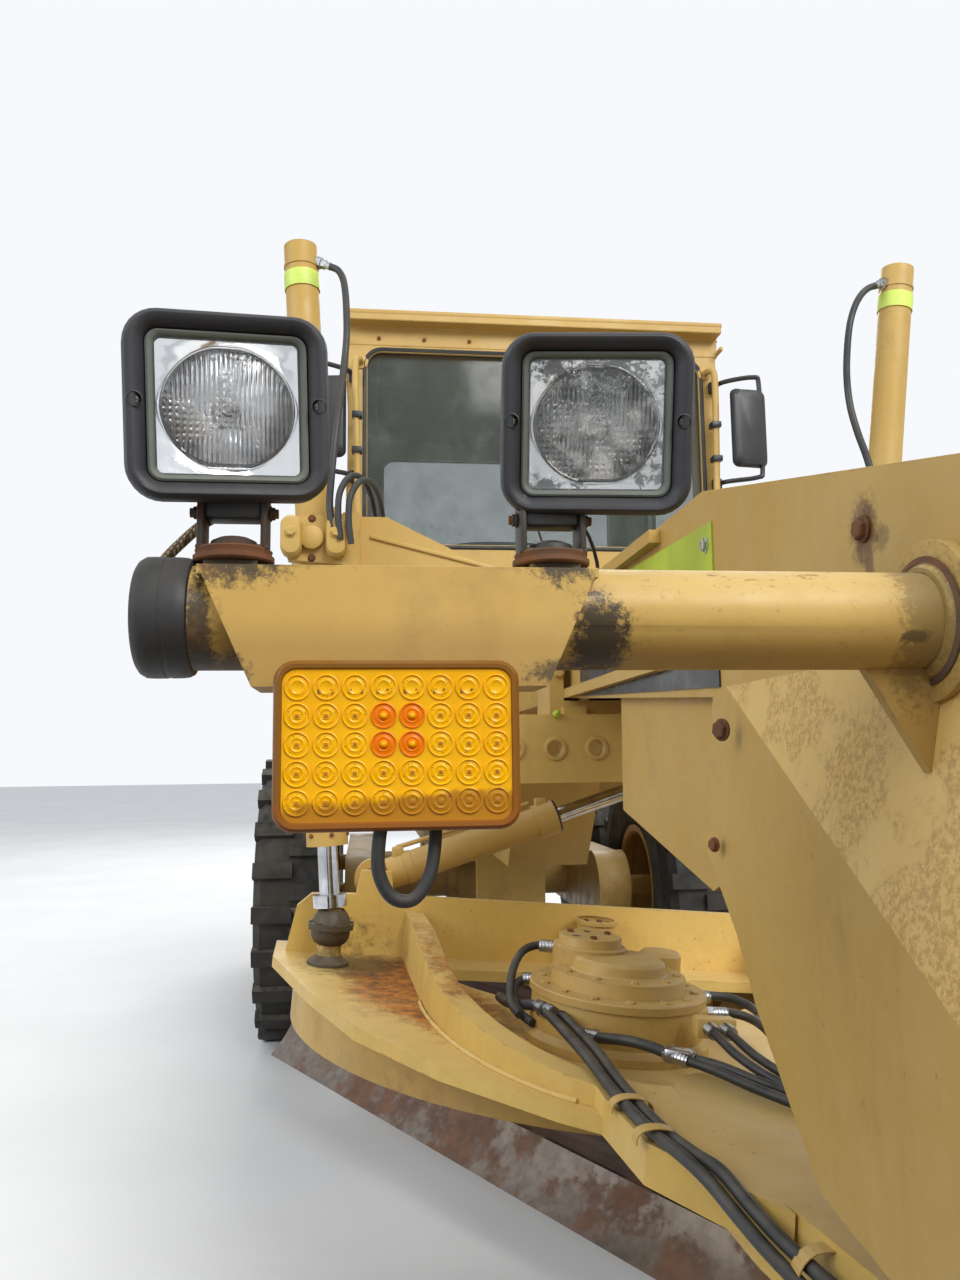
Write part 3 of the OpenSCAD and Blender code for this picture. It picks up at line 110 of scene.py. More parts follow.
class Mat:
    """A material and short calls for its nodes."""

    def __init__(self, name, color=(0.8, 0.8, 0.8, 1), rough=0.5, metal=0.0, **more):
        self.m = bpy.data.materials.new(name)
        self.m.use_nodes = True
        self.t = self.m.node_tree
        self.b = self.t.nodes["Principled BSDF"]
        self.set(**{"Base Color": color, "Roughness": rough, "Metallic": metal}, **more)
        self.co = self.new("TexCoord", out="Object")
        self.geo = self.mirrored = None

    def new(self, *what, **settings):
        return node(self.t, *what, **settings)

    def set(self, **sockets):
        """Sets sockets of the surface itself."""
        for k, v in sockets.items():
            put(self.t, self.b.inputs[k.replace("_", " ")], v)

    def scaled(self, s):
        return self.new("Mapping", {"Vector": self.co, "Scale": s})

    def noise(self, scale, detail=4, rough=0.55, at=None, distortion=0.0):
        return self.new("TexNoise", {"Vector": at or self.co, "Scale": scale, "Detail": detail,
            "Roughness": rough, "Distortion": distortion}, "Fac")

    def cells(self, scale):
        """Distance from the middles of a plain grid of cells."""
        return self.new("TexVoronoi", {"Vector": self.co, "Scale": scale, "Randomness": 0.0}, "Distance")

    def wave(self, scale, at=None, direction="X", distortion=0.0):
        return self.new("TexWave", {"Vector": at or self.co, "Scale": scale, "Distortion": distortion}, "Fac",
            bands_direction=direction)

    def step(self, v, a, b, c=0.0, d=1.0):
        return self.new("MapRange", {"Value": v, "From Min": a, "From Max": b, "To Min": c, "To Max": d},
            interpolation_type="SMOOTHSTEP")

    def op(self, kind, a, b=0.0):
        return self.new("Math", {0: a, 1: b}, operation=kind, use_clamp=kind in ("MULTIPLY", "ADD",
            "SUBTRACT"))

    def mul(self, a, b):
        return self.op("MULTIPLY", a, b)

    def add(self, a, b):
        return self.op("ADD", a, b)

    def abs(self, a):
        return self.op("ABSOLUTE", a)

    def mix(self, fac, a, b):
        return self.new("Mix", {"Factor": fac, 6: a, 7: b}, 2, data_type="RGBA")

    def part(self, of, which):
        return self.new("SeparateXYZ", {0: of}, which)

    def pos(self, which):
        return self.part(self.co, which)

    def facing(self):
        self.geo = self.geo or self.new("NewGeometry", out="Normal")
        return self.geo

    def normal(self, which):
        return self.part(self.facing(), which)

    def edge(self, radius):
        """1 on sharp edges, 0 on flat faces."""
        n = self.new("Bevel", {"Radius": radius}, samples=3)
        turn = self.new("VectorMath", {0: n, 1: self.facing()}, "Value", operation="DOT_PRODUCT")
        return self.step(turn, 0.97, 0.8)

    def blend(self, noise, a, b, one, two):
        """Colour one, and two where the noise goes from a to b."""
        return self.mix(self.step(self.noise(*noise), a, b), one, two)

    def spots(self, c, noise, a, b, k, *col):
        """Colour c, with up to k of another one where the noise goes from a to b."""
        return self.mix(self.step(self.noise(*noise), a, b, 0.0, k), c, srgb(*col))

    def tint(self, c, where, k, *col):
        """Colour c, with k of another one where it says."""
        return self.mix(self.mul(where, k), c, srgb(*col))

    def bump(self, *layers):
        last = None
        for h, strength, dist in layers:
            below = {"Normal": last} if last else {}
            last = self.new("Bump", {"Height": h, "Strength": strength, "Distance": dist, **below})
        self.set(Normal=last)

    def color(self, c):
        self.set(Base_Color=c)

    def rough(self, c):
        self.set(Roughness=c)

    def worn_rough(self, noise, a, b, c, d):
        """Roughness from c to d as the noise goes from a to b."""
        self.rough(self.step(self.noise(*noise), a, b, c, d))


RUST = srgb(92, 57, 35)
RUST2 = srgb(124, 77, 43)
GRIME = srgb(84, 66, 40)
SOOT_AND_SHADE = srgb(38, 33, 27)


def yellow(name, base=srgb(192, 156, 76), faded=srgb(203, 171, 98), grime=0.5, rust=0.5, peel_and_facet_light=0.0,
        marks=None):
    """Aged yellow paint: faded, dusty, streaked, chipped to rust at its edges."""
    m = Mat(name, rough=0.5)
    fade = m.step(m.noise(1.1, 3), 0.35, 0.7)
    c = m.mix(fade, base, faded)
    fine = m.noise(38, 6, 0.7)
    c = m.mix(m.step(fine, 0.3, 0.75, 0.0, 0.16), c, srgb(170, 130, 58))
    # sun and dust on what faces up
    up = m.step(m.normal(2), 0.35, 0.95)
    c = m.tint(c, up, 0.35, 206, 182, 130)
    # running dirt
    streak = m.noise(2.6, 7, 0.65, at=m.scaled((5, 5, 0.7)))
    c = m.mix(m.step(streak, 0.5, 0.78, 0.0, 0.42 * grime), c, srgb(150, 116, 62))
    patch = m.noise(5.2, 9, 0.7)
    c = m.mix(m.step(patch, 0.55, 0.75, 0.0, 0.55 * grime), c, GRIME)
    # dirt thrown up from the ground
    low = m.step(m.pos(2), 1.25, 0.35)
    mud = m.step(m.noise(9, 8, 0.75), 0.38, 0.66)
    c = m.tint(c, m.mul(low, mud), 0.6 * grime + 0.15, 120, 98, 66)
    # chips and rust
    area = m.step(m.noise(3.1, 3), 0.5, 0.68)
    speck = m.step(m.noise(75, 5, 0.75), 0.62, 0.68)
    chips = m.mul(m.mul(area, speck), rust)
    h = chips
    edge = m.mul(m.edge(0.006), m.step(m.noise(22, 6, 0.7), 0.5, 0.66))
    chips = m.add(chips, m.mul(edge, 0.8))
    c = m.mix(chips, c, m.blend((30, 3), 0.4, 0.6, RUST, RUST2))
    if peel_and_facet_light:
        # the upward facets: lightened as a painted highlight, and flaking in patches
        facet_highlight_and_peel = m.mul(m.step(m.normal(2), 0.08, 0.19), peel_and_facet_light)
        c = m.tint(c, facet_highlight_and_peel, 0.62, 226, 192, 118)
        patchy = m.mul(facet_highlight_and_peel, m.step(m.noise(6.5, 8, 0.7, distortion=0.4), 0.47, 0.53))
        flake = m.mul(patchy, m.step(m.noise(120, 6, 0.8), 0.44, 0.56))
        c = m.tint(c, flake, 0.6, 160, 120, 56)
        c = m.tint(c, m.mul(facet_highlight_and_peel, m.step(m.noise(52, 9, 0.8), 0.62, 0.68)), 0.7, 120, 84, 44)
        # painted shade: faces turned sideways and down are darkened
        c = m.tint(c, m.step(m.normal(2), 0.04, -0.02), 0.22, 150, 116, 54)
        h = m.add(h, patchy)
    if marks:
        c = marks(m, c)
    m.color(c)
    m.worn_rough((12, 5), 0.3, 0.7, 0.42, 0.62)
    m.bump((m.noise(160, 3), 0.05, 0.002), (h, 0.35, 0.0015), (m.noise(7, 2), 0.06, 0.01))
    return m.m


def rubber(name, col, dusty, rough):
    m = Mat(name, rough=rough)
    c = m.blend((6, 5), 0.35, 0.7, col, shade(col, 1.5))
    up = m.mul(m.step(m.normal(2), 0.1, 0.9), dusty)
    c = m.tint(c, up, m.step(m.noise(25, 6), 0.3, 0.7), 120, 112, 98)
    c = m.tint(c, m.step(m.noise(3, 6), 0.45, 0.7), dusty * 0.6, 92, 82, 66)
    m.color(c)
    m.worn_rough((9, 4), 0.3, 0.7, rough - 0.12, rough + 0.12)
    m.bump((m.noise(220, 3), 0.12, 0.001), (m.noise(14, 3), 0.1, 0.004))
    return m.m


def steel(name, col, rusty, rough, metal, soil):
    m = Mat(name, rough=rough, metal=metal)
    r = m.step(m.noise(4, 9, 0.7), 0.62 - 0.35 * rusty, 0.72 - 0.3 * rusty)
    c = m.blend((30, 5), 0.3, 0.7, col, shade(col, 0.7))
    tone = m.blend((12, 6, 0.7), 0.35, 0.65, RUST, RUST2)
    c = m.mix(m.mul(r, min(1.0, rusty * 1.5)), c, tone)
    c = m.spots(c, (2.2, 5), 0.5, 0.75, soil, 130, 108, 78)
    m.color(c)
    m.set(Metallic=m.step(r, 0.0, 1.0, metal, 0.05))
    m.rough(m.step(r, 0.0, 1.0, rough, 0.85))
    m.bump((m.noise(120, 5), 0.15, 0.001), (r, 0.2, 0.001))
    return m.m


def moldboard_with_painted_shade():
    """Rusty board, rubbed along its length by the soil, with all its colours darkened as painted shade."""
    m = Mat("rusted_moldboard_painted_shade", rough=0.7, metal=0.05)
    long = m.noise(9, 6, 0.65, at=m.scaled((0.25, 0.25, 4)))
    tone = m.blend((7, 8, 0.7), 0.3, 0.7, srgb(76, 51, 37), srgb(48, 35, 27))
    c = m.mix(m.step(long, 0.42, 0.66, 0, 0.6), tone, srgb(92, 72, 58))
    c = m.spots(c, (30, 7, 0.75), 0.6, 0.72, 0.5, 104, 64, 38)
    c = m.spots(c, (3, 6), 0.5, 0.7, 0.5, 82, 68, 52)
    m.color(c)
    m.rough(m.step(long, 0.3, 0.7, 0.85, 0.65))
    m.bump((long, 0.12, 0.004), (m.noise(140, 4), 0.15, 0.001))
    return m.m


def glass(col, alpha, rough=0.06, dirt=0.25):
    m = Mat("window_glass", color=col, rough=rough)
    d = m.step(m.noise(3.5, 8, 0.7), 0.4, 0.8, 0.0, dirt)
    d = m.add(d, m.step(m.noise(60, 5, 0.7), 0.55, 0.75, 0.0, dirt * 0.6))
    m.color(m.mix(d, col, srgb(176, 172, 158)))
    m.set(Alpha=m.add(m.mul(d, 0.8), alpha))
    m.rough(m.step(d, 0.0, 0.4, rough, 0.4))
    return m.m


M = {
    "paint": yellow("aged_yellow_paint"),
    "cab": yellow("cab_yellow_paint", base=srgb(190, 155, 84), grime=0.3, rust=0.25),
    "low": yellow("worn_low_paint", base=srgb(186, 148, 74), grime=0.8, rust=0.9),
    "rim": yellow("rim_paint", base=srgb(176, 136, 62), grime=1.0, rust=0.9),
    "window": glass(srgb(70, 92, 94), 0.3),
    "board": moldboard_with_painted_shade(),
}

for key, name, r, g, b, rusty, rough, metal, soil in (
        ("chrome", "cylinder_chrome", 205, 206, 208, 0.05, 0.14, 1.0, 0.12),
        ("edge", "worn_edge_steel", 130, 120, 110, 0.45, 0.4, 0.85, 0.2),
        ("bare", "bare_steel", 150, 146, 140, 0.35, 0.4, 0.85, 0.2),
        ("iron", "engine_iron", 86, 84, 78, 0.3, 0.6, 0.4, 0.2),
        ("darkmetal", "dark_painted_metal", 48, 47, 45, 0.25, 0.55, 0.2, 0.2),
        ("rusty", "rusty_fitting", 110, 84, 62, 0.9, 0.7, 0.3, 0.2),
        ("fitting", "silver_fitting", 190, 192, 194, 0.08, 0.28, 1.0, 0.2),
        ("disc", "rusty_disc", 96, 74, 58, 0.55, 0.75, 0.2, 0.35)):
    M[key] = steel(name, srgb(r, g, b), rusty, rough, metal, soil)
for key, name, r, g, b, dusty, rough in (
        ("seal", "grey_green_seal", 92, 98, 92, 0.5, 0.6),
        ("bezel", "bezel_rubber", 36, 37, 42, 0.13, 0.5),
        ("led_die", "led_die", 150, 96, 6, 0.0, 0.4),
        ("led_dot", "led_dot", 110, 74, 10, 0.0, 0.5),
        ("pane_seal", "window_seal", 40, 44, 44, 0.35, 0.6),
        ("grease", "greasy_dirt", 58, 46, 28, 0.5, 0.6),
        ("lime", "lime_marking", 186, 206, 92, 0.1, 0.5),
        ("panel", "blue_black_panel", 26, 34, 44, 0.12, 0.3),
        ("green", "lime_panel", 160, 178, 44, 0.25, 0.4),
        ("piping", "seat_piping", 26, 26, 27, 0.2, 0.6),
        ("red", "red_lens", 150, 18, 14, 0.12, 0.25),
        ("tyre", "dusty_tyre_rubber", 40, 39, 38, 0.55, 0.8),
        ("rubber", "black_rubber", 30, 30, 31, 0.2, 0.6),
        ("hose", "hose_rubber", 36, 37, 38, 0.35, 0.55),
        ("plastic", "black_plastic", 36, 36, 38, 0.18, 0.45),
        ("dark", "dark_trim", 52, 52, 52, 0.3, 0.55)):
    M[key] = rubber(name, srgb(r, g, b), dusty, rough)


# Looks of the carried-over nodes that aren't in low paint
LOOKS = {
    "paint": "saddle lift_barrel_left lift_barrel_right",
    "cab": "cab_frame cab_roof grab_rails door_left door_right hood",
    "window": "cab_glass door_glass_left door_glass_right",
    "dark": "console seat",
    "plastic": "mirrors work_lamps marker_lamps rear_lamps",
    "chrome": "lift_rod_left lift_rod_right shift_rod tip_rod artic_rod_left artic_rod_right",
    "board": "moldboard",
    "edge": "cutting_edge",
    "iron": "engine",
    "darkmetal": "exhaust",
}


def soften(o, width):
    """Rounds the sharp edges of a carried-over node for the render."""
    w = o.modifiers.new("weld", "WELD")
    w.merge_threshold = 0.00002
    b = o.modifiers.new("bevel", "BEVEL")
    b.width = width
    b.segments = 2
    b.limit_method = "ANGLE"
    b.angle_limit = radians(32)
    b.use_clamp_overlap = True
    b.harden_normals = False
    b.miter_outer = "MITER_ARC"


def look(o, m):
    o.data.materials.clear()
    o.data.materials.append(M[m])


for n, o in N.items():
    plain = {"rim": "rim", "tyre": "tyre"}.get(n.split("_")[0], "low")
    look(o, next((k for k, names in LOOKS.items() if n in names.split()), plain))


def mm(*v, n=2):
    """Rows of n numbers, given in millimetres."""
    return [tuple(x / 1000 for x in v[i:i + n]) for i in range(0, len(v), n)]


def at_axle(s, *v):
    """Points in mm: x towards side s, y from the front axle."""
    return [vec(s * x, AY + y, z) for x, y, z in mm(*v, n=3)]


# Building pieces
OPEN, FIRST, LAST = (False, False), (True, False), (False, True)    # which ends of a loft are closed
SIDES = ((-1, "right"), (1, "left"))
FORE, UP = (0, -1, 0), (0, 0, 1)


class Piece:
    """Collects geometry, laid out from a place of its own, and makes one object of it."""

    def __init__(self, name, at=Matrix.Identity(4)):
        self.name, self.at, self.bm, self.mats = name, at, bmesh.new(), []

    def slot_of(self, m):
        if m not in self.mats:
            self.mats.append(m)
        return self.mats.index(m)

    def _add(self, verts, faces, m, smooth=True):
        k = self.slot_of(m)
        vs = [self.bm.verts.new(self.at @ Vector(v)) for v in verts]
        for f in faces:
            if len(set(f)) < 3:
                continue
            try:
                g = self.bm.faces.new([vs[i] for i in f])
            except ValueError:
                continue
            g.material_index, g.smooth = k, smooth

    def loft(self, loops, m, cap=(True, True), smooth=True):
        """Skins loops of equal length, one after another."""
        n = len(loops[0])
        verts = [p for lp in loops for p in lp]
        faces = []
        for i in range(len(loops) - 1):
            for j in range(n):
                a, b = i * n + j, i * n + (j + 1) % n
                faces.append((a, b, b + n, a + n))
        if cap[0]:
            faces.append(tuple(reversed(range(n))))
        if cap[1]:
            faces.append(tuple(range((len(loops) - 1) * n, len(loops) * n)))
        self._add(verts, faces, m, smooth)

    def box(self, lo, hi, m, r=0.0, turn=None):
        """A block with rounded edges."""
        lo, hi = Vector(lo), Vector(hi)
        c, h = (lo + hi) / 2, (hi - lo) / 2
        r = min(r, *(x * 0.98 for x in h))
        b = bmesh.new()
        bmesh.ops.create_cube(b, size=2)
        for v in b.verts:
            v.co = vec(v.co.x * h.x, v.co.y * h.y, v.co.z * h.z)
        if r > 0:
            bmesh.ops.bevel(b, geom=b.edges[:], offset=r, segments=2, affect="EDGES", profile=0.5)
        verts = [(Matrix.Translation(c) @ (turn or Matrix.Identity(4)) @ v.co) for v in b.verts]
        b.verts.index_update()
        faces = [[v.index for v in f.verts] for f in b.faces]
        b.free()
        self._add(verts, faces, m, False)

    def post(self, x, dx, y0, y1, z0, z1, m, r=0.0):
        """A block that goes dx to each side of x."""
        self.box((x - dx, y0, z0), (x + dx, y1, z1), m, r)

    def chip(self, c, dx, y0, y1, dz, m, r=0.0):
        """A small block around a point, in mm."""
        self.box(c + vec(-dx, y0, -dz) / 1000, c + vec(dx, y1, dz) / 1000, m, r)

    def tube(self, pts, r, m, n=12, cap=True):
        """A round bar along points."""
        pts = [Vector(p) for p in pts]
        up = None
        loops = []
        for i, p in enumerate(pts):
            d = (pts[min(i + 1, len(pts) - 1)] - pts[max(i - 1, 0)]).normalized()
            if up is None:
                up = d.orthogonal().normalized()
            up = (up - d * up.dot(d)).normalized()
            side = d.cross(up)
            loops.append([p + (up * cos(a) + side * sin(a)) * r for a in turns(n)])
        self.loft(loops, m, cap=(cap, cap))

    def lathe(self, origin, axis, prof, m, n=32, cap=(True, True), smooth=True):
        """Turns a profile of (distance along the axis, radius) around the axis."""
        o, d = Vector(origin), Vector(axis).normalized()
        u = d.orthogonal().normalized()
        w = d.cross(u)
        loops = [[o + d * t + (u * cos(a) + w * sin(a)) * max(q, 1e-5) for a in turns(n)] for t, q in prof]
        self.loft(loops, m, cap=cap, smooth=smooth)

    def bolt(self, p, axis, d, m, washer=True):
        """Hexagon head on a washer."""
        if washer:
            self.lathe(p, axis, [(0, d * 0.62), (d * 0.1, d * 0.62), (d * 0.13, d * 0.56)], m, 16)
        self.lathe(p, axis, [(0, d * 0.5), (d * 0.34, d * 0.5), (d * 0.4, d * 0.42)], m, 6, smooth=False)

    def panel(self, corners, thick, m, normal):
        """A flat plate: corner points in one plane, thickened along normal."""
        nv = Vector(normal).normalized() * thick
        a = [Vector(c) for c in corners]
        self.loft([a, [p + nv for p in a]], m, smooth=False)

    def done(self, body, slot, replaces=(), smooth=35, subdiv=0):
        """Makes the object, and says which body it rides on; slot is not used."""
        me = bpy.data.meshes.new(self.name)
        bmesh.ops.recalc_face_normals(self.bm, faces=self.bm.faces[:])
        self.bm.to_mesh(me)
        self.bm.free()
        for m in self.mats:
            me.materials.append(M[m])
        o = bpy.data.objects.new(self.name, me)
        SC.collection.objects.link(o)
        if smooth:
            me.set_sharp_from_angle(angle=radians(smooth))
        if subdiv:
            s = o.modifiers.new("sub", "SUBSURF")
            s.levels = s.render_levels = subdiv
        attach(o, body)
        if replaces:
            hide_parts(*replaces)
        return o


def smooth_path(pts, steps=8):
    """Catmull-Rom curve through points."""
    p = [Vector(x) for x in pts]
    p = [p[0] * 2 - p[1]] + p + [p[-1] * 2 - p[-2]]
    out = []
    for i in range(1, len(p) - 2):
        for k in range(steps):
            t = k / steps
            a, b, c, d = p[i - 1], p[i], p[i + 1], p[i + 2]
            out.append(0.5 * ((2 * b) + (c - a) * t + (2 * a - 5 * b + 4 * c - d) * t * t
                + (3 * b - 3 * c + d - a) * t ** 3))
    out.append(p[-2])
    return out


def turns(n, start=0.0):
    """Angles all around, in even steps."""
    return [start + 2 * pi * k / n for k in range(n)]


def rr(w, h, r, y, n=6, cx=0.0, cz=0.0):
    """Rounded rectangle in the XZ plane at depth y, as a loop of points."""
    r = min(r, w / 2 - 1e-5, h / 2 - 1e-5)
    pts = []
    for qx, qz, a0 in ((1, 1, 0), (-1, 1, 90), (-1, -1, 180), (1, -1, 270)):
        for k in range(n + 1):
            a = radians(a0 + 90 * k / n)
            pts.append(vec(cx + qx * (w / 2 - r) + cos(a) * r, y, cz + qz * (h / 2 - r) + sin(a) * r))
    return pts


def rims(*v, n=6, kx=1.0, kz=1.0):
    """Rounded rectangles, each given by width, height, corner radius and depth in mm."""
    return [rr(w * kx, h * kz, r, y, n) for w, h, r, y in mm(*v, n=4)]


def hose(name, pts, d, body, m="hose"):
    """A hose or cable as a curve through the points."""
    path = smooth_path(pts, 6)
    curve = bpy.data.curves.new(name, "CURVE")
    curve.dimensions = "3D"
    curve.bevel_depth = d / 2
    curve.bevel_resolution = 3
    curve.use_fill_caps = True
    s = curve.splines.new("POLY")
    s.points.add(len(path) - 1)
    for q, p in zip(s.points, path):
        q.co = (*p, 1)
    s.use_smooth = True
    o = bpy.data.objects.new(name, curve)
    curve.materials.append(M[m])
    SC.collection.objects.link(o)
    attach(o, body)


# Lamps
BAR_Y, BAR_Z = AY + 0.86, 1.605      # the middle of the bar
LAMP_HALF = 0.0475      # half the depth of a lamp case


def lens_mat(name, dirty):
    m = Mat(name, color=(1, 1, 1, 1), rough=0.04, IOR=1.5, Transmission_Weight=1.0)
    ribs = m.wave(84, direction="X")
    rows = m.wave(30, direction="Z")
    dimple = m.step(m.cells(190), 0.1, 0.45)
    where = m.step(m.noise(26, 2), 0.42, 0.5) if dirty else m.step(m.noise(20, 2), 0.5, 0.58)
    h = m.mix(where, m.add(ribs, m.mul(rows, 0.3)), dimple)
    soil = m.mul(m.step(m.noise(22, 8, 0.7), 0.42, 0.7), 0.5 if dirty else 0.22)
    m.color(m.mix(soil, (1, 1, 1, 1), srgb(150, 150, 144)))
    m.set(Transmission_Weight=m.step(soil, 0.0, 0.6, 1.0, 0.35))
    m.rough(m.step(soil, 0, 0.5, 0.04, 0.4))
    m.bump((h, 0.7 if dirty else 0.55, 0.0016))
    return m.m


def clear_mat():
    m = Mat("clear_glass", color=(1, 1, 1, 1), rough=0.03, IOR=1.48, Transmission_Weight=1.0)
    m.worn_rough((40, 7, 0.7), 0.5, 0.8, 0.03, 0.3)
    return m.m


def mirror_mat(name, patchy):
    m = Mat(name, color=srgb(222, 224, 226), rough=0.1, metal=1.0)
    if patchy:
        p = m.step(m.noise(24, 8, 0.75), 0.5, 0.58)
        q = m.step(m.noise(15, 9, 0.8), 0.57, 0.62)
        c = m.mix(p, srgb(206, 208, 208), srgb(150, 158, 160))
        m.color(m.mix(q, c, srgb(24, 24, 22)))
        m.set(Metallic=m.step(q, 0, 1, 0.8, 0.1))
        m.rough(m.step(p, 0, 1, 0.12, 0.5))
    else:
        m.worn_rough((30, 5), 0.4, 0.7, 0.07, 0.2)
    m.bump((m.noise(26, 2), 0.25, 0.004))
    return m.m


M["lens_clean"] = lens_mat("ribbed_lens", False)
M["lens_dirty"] = lens_mat("dimpled_dirty_lens", True)
M["clear"] = clear_mat()
M["mirror"] = mirror_mat("reflector", False)
M["mirror_old"] = mirror_mat("patchy_reflector", True)
mb = Mat("braided_tan_sleeve", rough=0.75)
d1 = mb.wave(110, direction="DIAGONAL")
d2 = mb.wave(110, at=mb.scaled((-1, 1, 1)), direction="DIAGONAL")
weave = mb.mul(d1, d2)
mb.color(mb.mix(mb.step(weave, 0.02, 0.4), srgb(112, 90, 64), srgb(206, 184, 146)))
mb.bump((weave, 0.8, 0.002))
M["braid"] = mb.m


def work_lamp(name, pad, middle, face_y, cz, yaw=0.0, roll=0.0, tilt=0.0, old=False, w=0.166, h=0.164,
        base_z=None):
    """Rubber-cased square work lamp: case, seal, reflector, bulb, ribbed glass, bracket."""
    turn = (Matrix.Translation((middle, face_y + LAMP_HALF, cz)) @ turned_by(yaw, "Z")
            @ turned_by(roll, "Y") @ turned_by(tilt, "X"))
    kx, kz = w / 0.166, h / 0.164
    p = Piece(name + "_case", turn)
    p.loft(rims(90, 88, 30, 47.5, 124, 122, 34, 45, 146, 144, 34, 34, 154, 152, 30, 10, 158, 156, 29, -18,
        160, 158, 29, -21, 165.5, 163.5, 29, -24, 166, 164, 29, -36, 164.5, 162.5, 28, -42.5,
        160, 158, 27, -46.5, 154, 154, 24, -47.5, 146.5, 147.5, 20, -46.8, 139, 139.5, 16, -43.5,
        133.5, 134.5, 13, -41, 131.5, 132.5, 12, -38, 131, 132, 11.5, -30, n=7, kx=kx, kz=kz), "bezel",
        cap=FIRST)
    # screws in their wells at mid height
    for s in (-1, 1):
        c = vec(s * 0.0735 * kx, -0.0462, 0.002)
        p.lathe(c, (0, 1, 0), mm(-1.2, 6.6, -1.6, 5.8, 2, 5.6, 4, 5.4), "bezel", 18, cap=LAST)
        p.lathe(c + vec(0, 0.0026, 0), FORE, mm(0, 4.2, 1.2, 4, 2.2, 2.6), "bare", 14, cap=LAST)
        p.chip(c, 3, -0.2, 0.6, 0.5, "plastic")
        p.chip(c, 0.5, -0.2, 0.6, 3, "plastic")
    # fins on the back
    for i in range(5):
        x = (-0.044 + 0.022 * i) * kx
        p.post(x, 0.002, 0.042, 0.0475, -0.045 * kz, 0.045 * kz, "bezel", 0.0015)
    p.done("front", "black_plastic")
    # seal ring around the glass
    p = Piece(name + "_seal", turn)
    p.loft(rims(130.5, 131.5, 11.5, -36, 129.5, 130.5, 11, -38.5, 126, 127, 10, -39.5, 121.5, 122.5, 9, -38.5,
        118, 119, 8, -36.5, 116.5, 117.5, 7.5, -33, kx=kx, kz=kz), "seal", cap=OPEN)
    p.done("front", "black_plastic")
    # reflector: square plate with a bowl, flat at its foot
    p = Piece(name + "_reflector", turn)
    around, R = turns(56), 0.0535       # the bowl's radius

    def bowl(q, y):
        """A circle, flat at its top and foot."""
        return [vec(cos(a) * q * kx, y, min(max(sin(a) * q, -0.0505 * q / R), 0.0525 * q / R)
            * kz) for a in around]

    def square(w2, h2, y):
        far = [(a, 1 / max(abs(cos(a)), abs(sin(a)))) for a in around]
        return [vec(cos(a) * k * w2 * kx, y, sin(a) * k * h2 * kz) for a, k in far]

    loops = [square(0.0585, 0.059, -0.033), square(0.0575, 0.058, -0.031), bowl(R + 0.001, -0.0305),
        bowl(R, -0.0295)]
    for k in range(1, 10):
        q = R * (1 - k / 10.5)
        loops.append(bowl(q, -0.0295 + 0.052 * (1 - (q / R) ** 2)))
    p.loft(loops, "mirror_old" if old else "mirror", cap=LAST)
    # bulb
    p.lathe((0, 0.022, 0), FORE, mm(0, 9, 6, 9, 7, 5, 28, 4.8, 33, 3.5, 35, 0.8), "clear", 16)
    p.lathe((0, 0.022, 0), FORE, mm(0, 10.5, 5, 10.5, 5, 4), "fitting", 20)
    p.done("front", "bare_steel")
    # glass: clear outside the bowl, ribbed inside it
    p = Piece(name + "_glass", turn)
    g = "lens_dirty" if old else "lens_clean"
    p.loft([square(0.0585, 0.059, -0.0362), bowl(R + 0.0012, -0.0366), bowl(R, -0.0374),
            bowl(R - 0.0014, -0.0366)], "clear", cap=OPEN)
    p.loft([bowl(R - 0.0014, -0.0366), bowl(0.03, -0.0372), bowl(0.002, -0.0374)], g, cap=LAST)
    p.loft([bowl(R - 0.0014, -0.0345), bowl(0.002, -0.0345)], g, cap=LAST)
    p.loft([square(0.0585, 0.059, -0.0345), bowl(R - 0.0014, -0.0345)], "clear", cap=OPEN)
    p.done("front", "window_glass")
    if base_z:
        b = base_z
        q = Piece(name + "_bracket")
        y = face_y + LAMP_HALF
        q.lathe((pad, y, b), UP, mm(0, 32.5, 1.5, 34, 5.5, 34, 6.2, 31, 6.6, 31, 10.5, 32.5, 12, 30.5),
            "disc", 36)
        q.lathe((pad, y, b + 0.012), UP, mm(0, 21, 3, 21, 7, 19, 10, 13, 11, 4), "darkmetal", 28)
        top = cz - h / 2
        for s in (-1, 1):
            q.post(pad + s * 0.0262, 0.0028, y - 0.017, y + 0.017, b + 0.01, top + 0.012, "darkmetal", 0.002)
        q.post(pad, 0.03, y - 0.017, y + 0.017, b + 0.0095, b + 0.0145, "darkmetal", 0.002)
        q.post(pad, 0.0235, y - 0.013, y + 0.013, top - 0.015, top + 0.01, "plastic", 0.003)
        q.tube([(pad - 0.037, y, top - 0.008), (pad + 0.037, y, top - 0.008)], 0.0042, "rusty", 10)
        for s in (-1, 1):
            q.bolt((pad + s * 0.03, y, top - 0.008), (s, 0, 0), 0.011, "darkmetal")
        q.done("front", "dark_painted_metal")


def amber_mats():
    out = {}
    for key, base in (("amber", srgb(234, 172, 0)), ("amber_deep", srgb(226, 120, 0)),
            ("amber_rim", srgb(128, 84, 26))):
        m = Mat(key + "_plastic", color=base, rough=0.22, Specular_IOR_Level=0.22)
        z = m.pos(2)
        low = m.step(z, BAR_Z - 0.126, BAR_Z - 0.162)
        inner = m.step(m.abs(m.pos(0)), 0.7, 0.6, 0.0, 0.16)
        ragged = m.step(m.add(m.add(m.mul(low, 0.5), inner), m.mul(m.noise(42, 7, 0.7), 0.5)), 0.6, 0.74)
        stain = m.mul(ragged, m.step(z, BAR_Z - 0.112, BAR_Z - 0.136))
        bright = srgb(244, 196, 10) if key == "amber" else base
        c = m.mix(m.step(m.noise(26, 4), 0.35, 0.7, 0, 0.25), base, bright)
        c = m.tint(c, stain, 0.72, 138, 80, 24)
        m.color(c)
        m.rough(m.step(stain, 0, 1, 0.2, 0.5))
        out[key] = m.m
    return out


M.update(amber_mats())


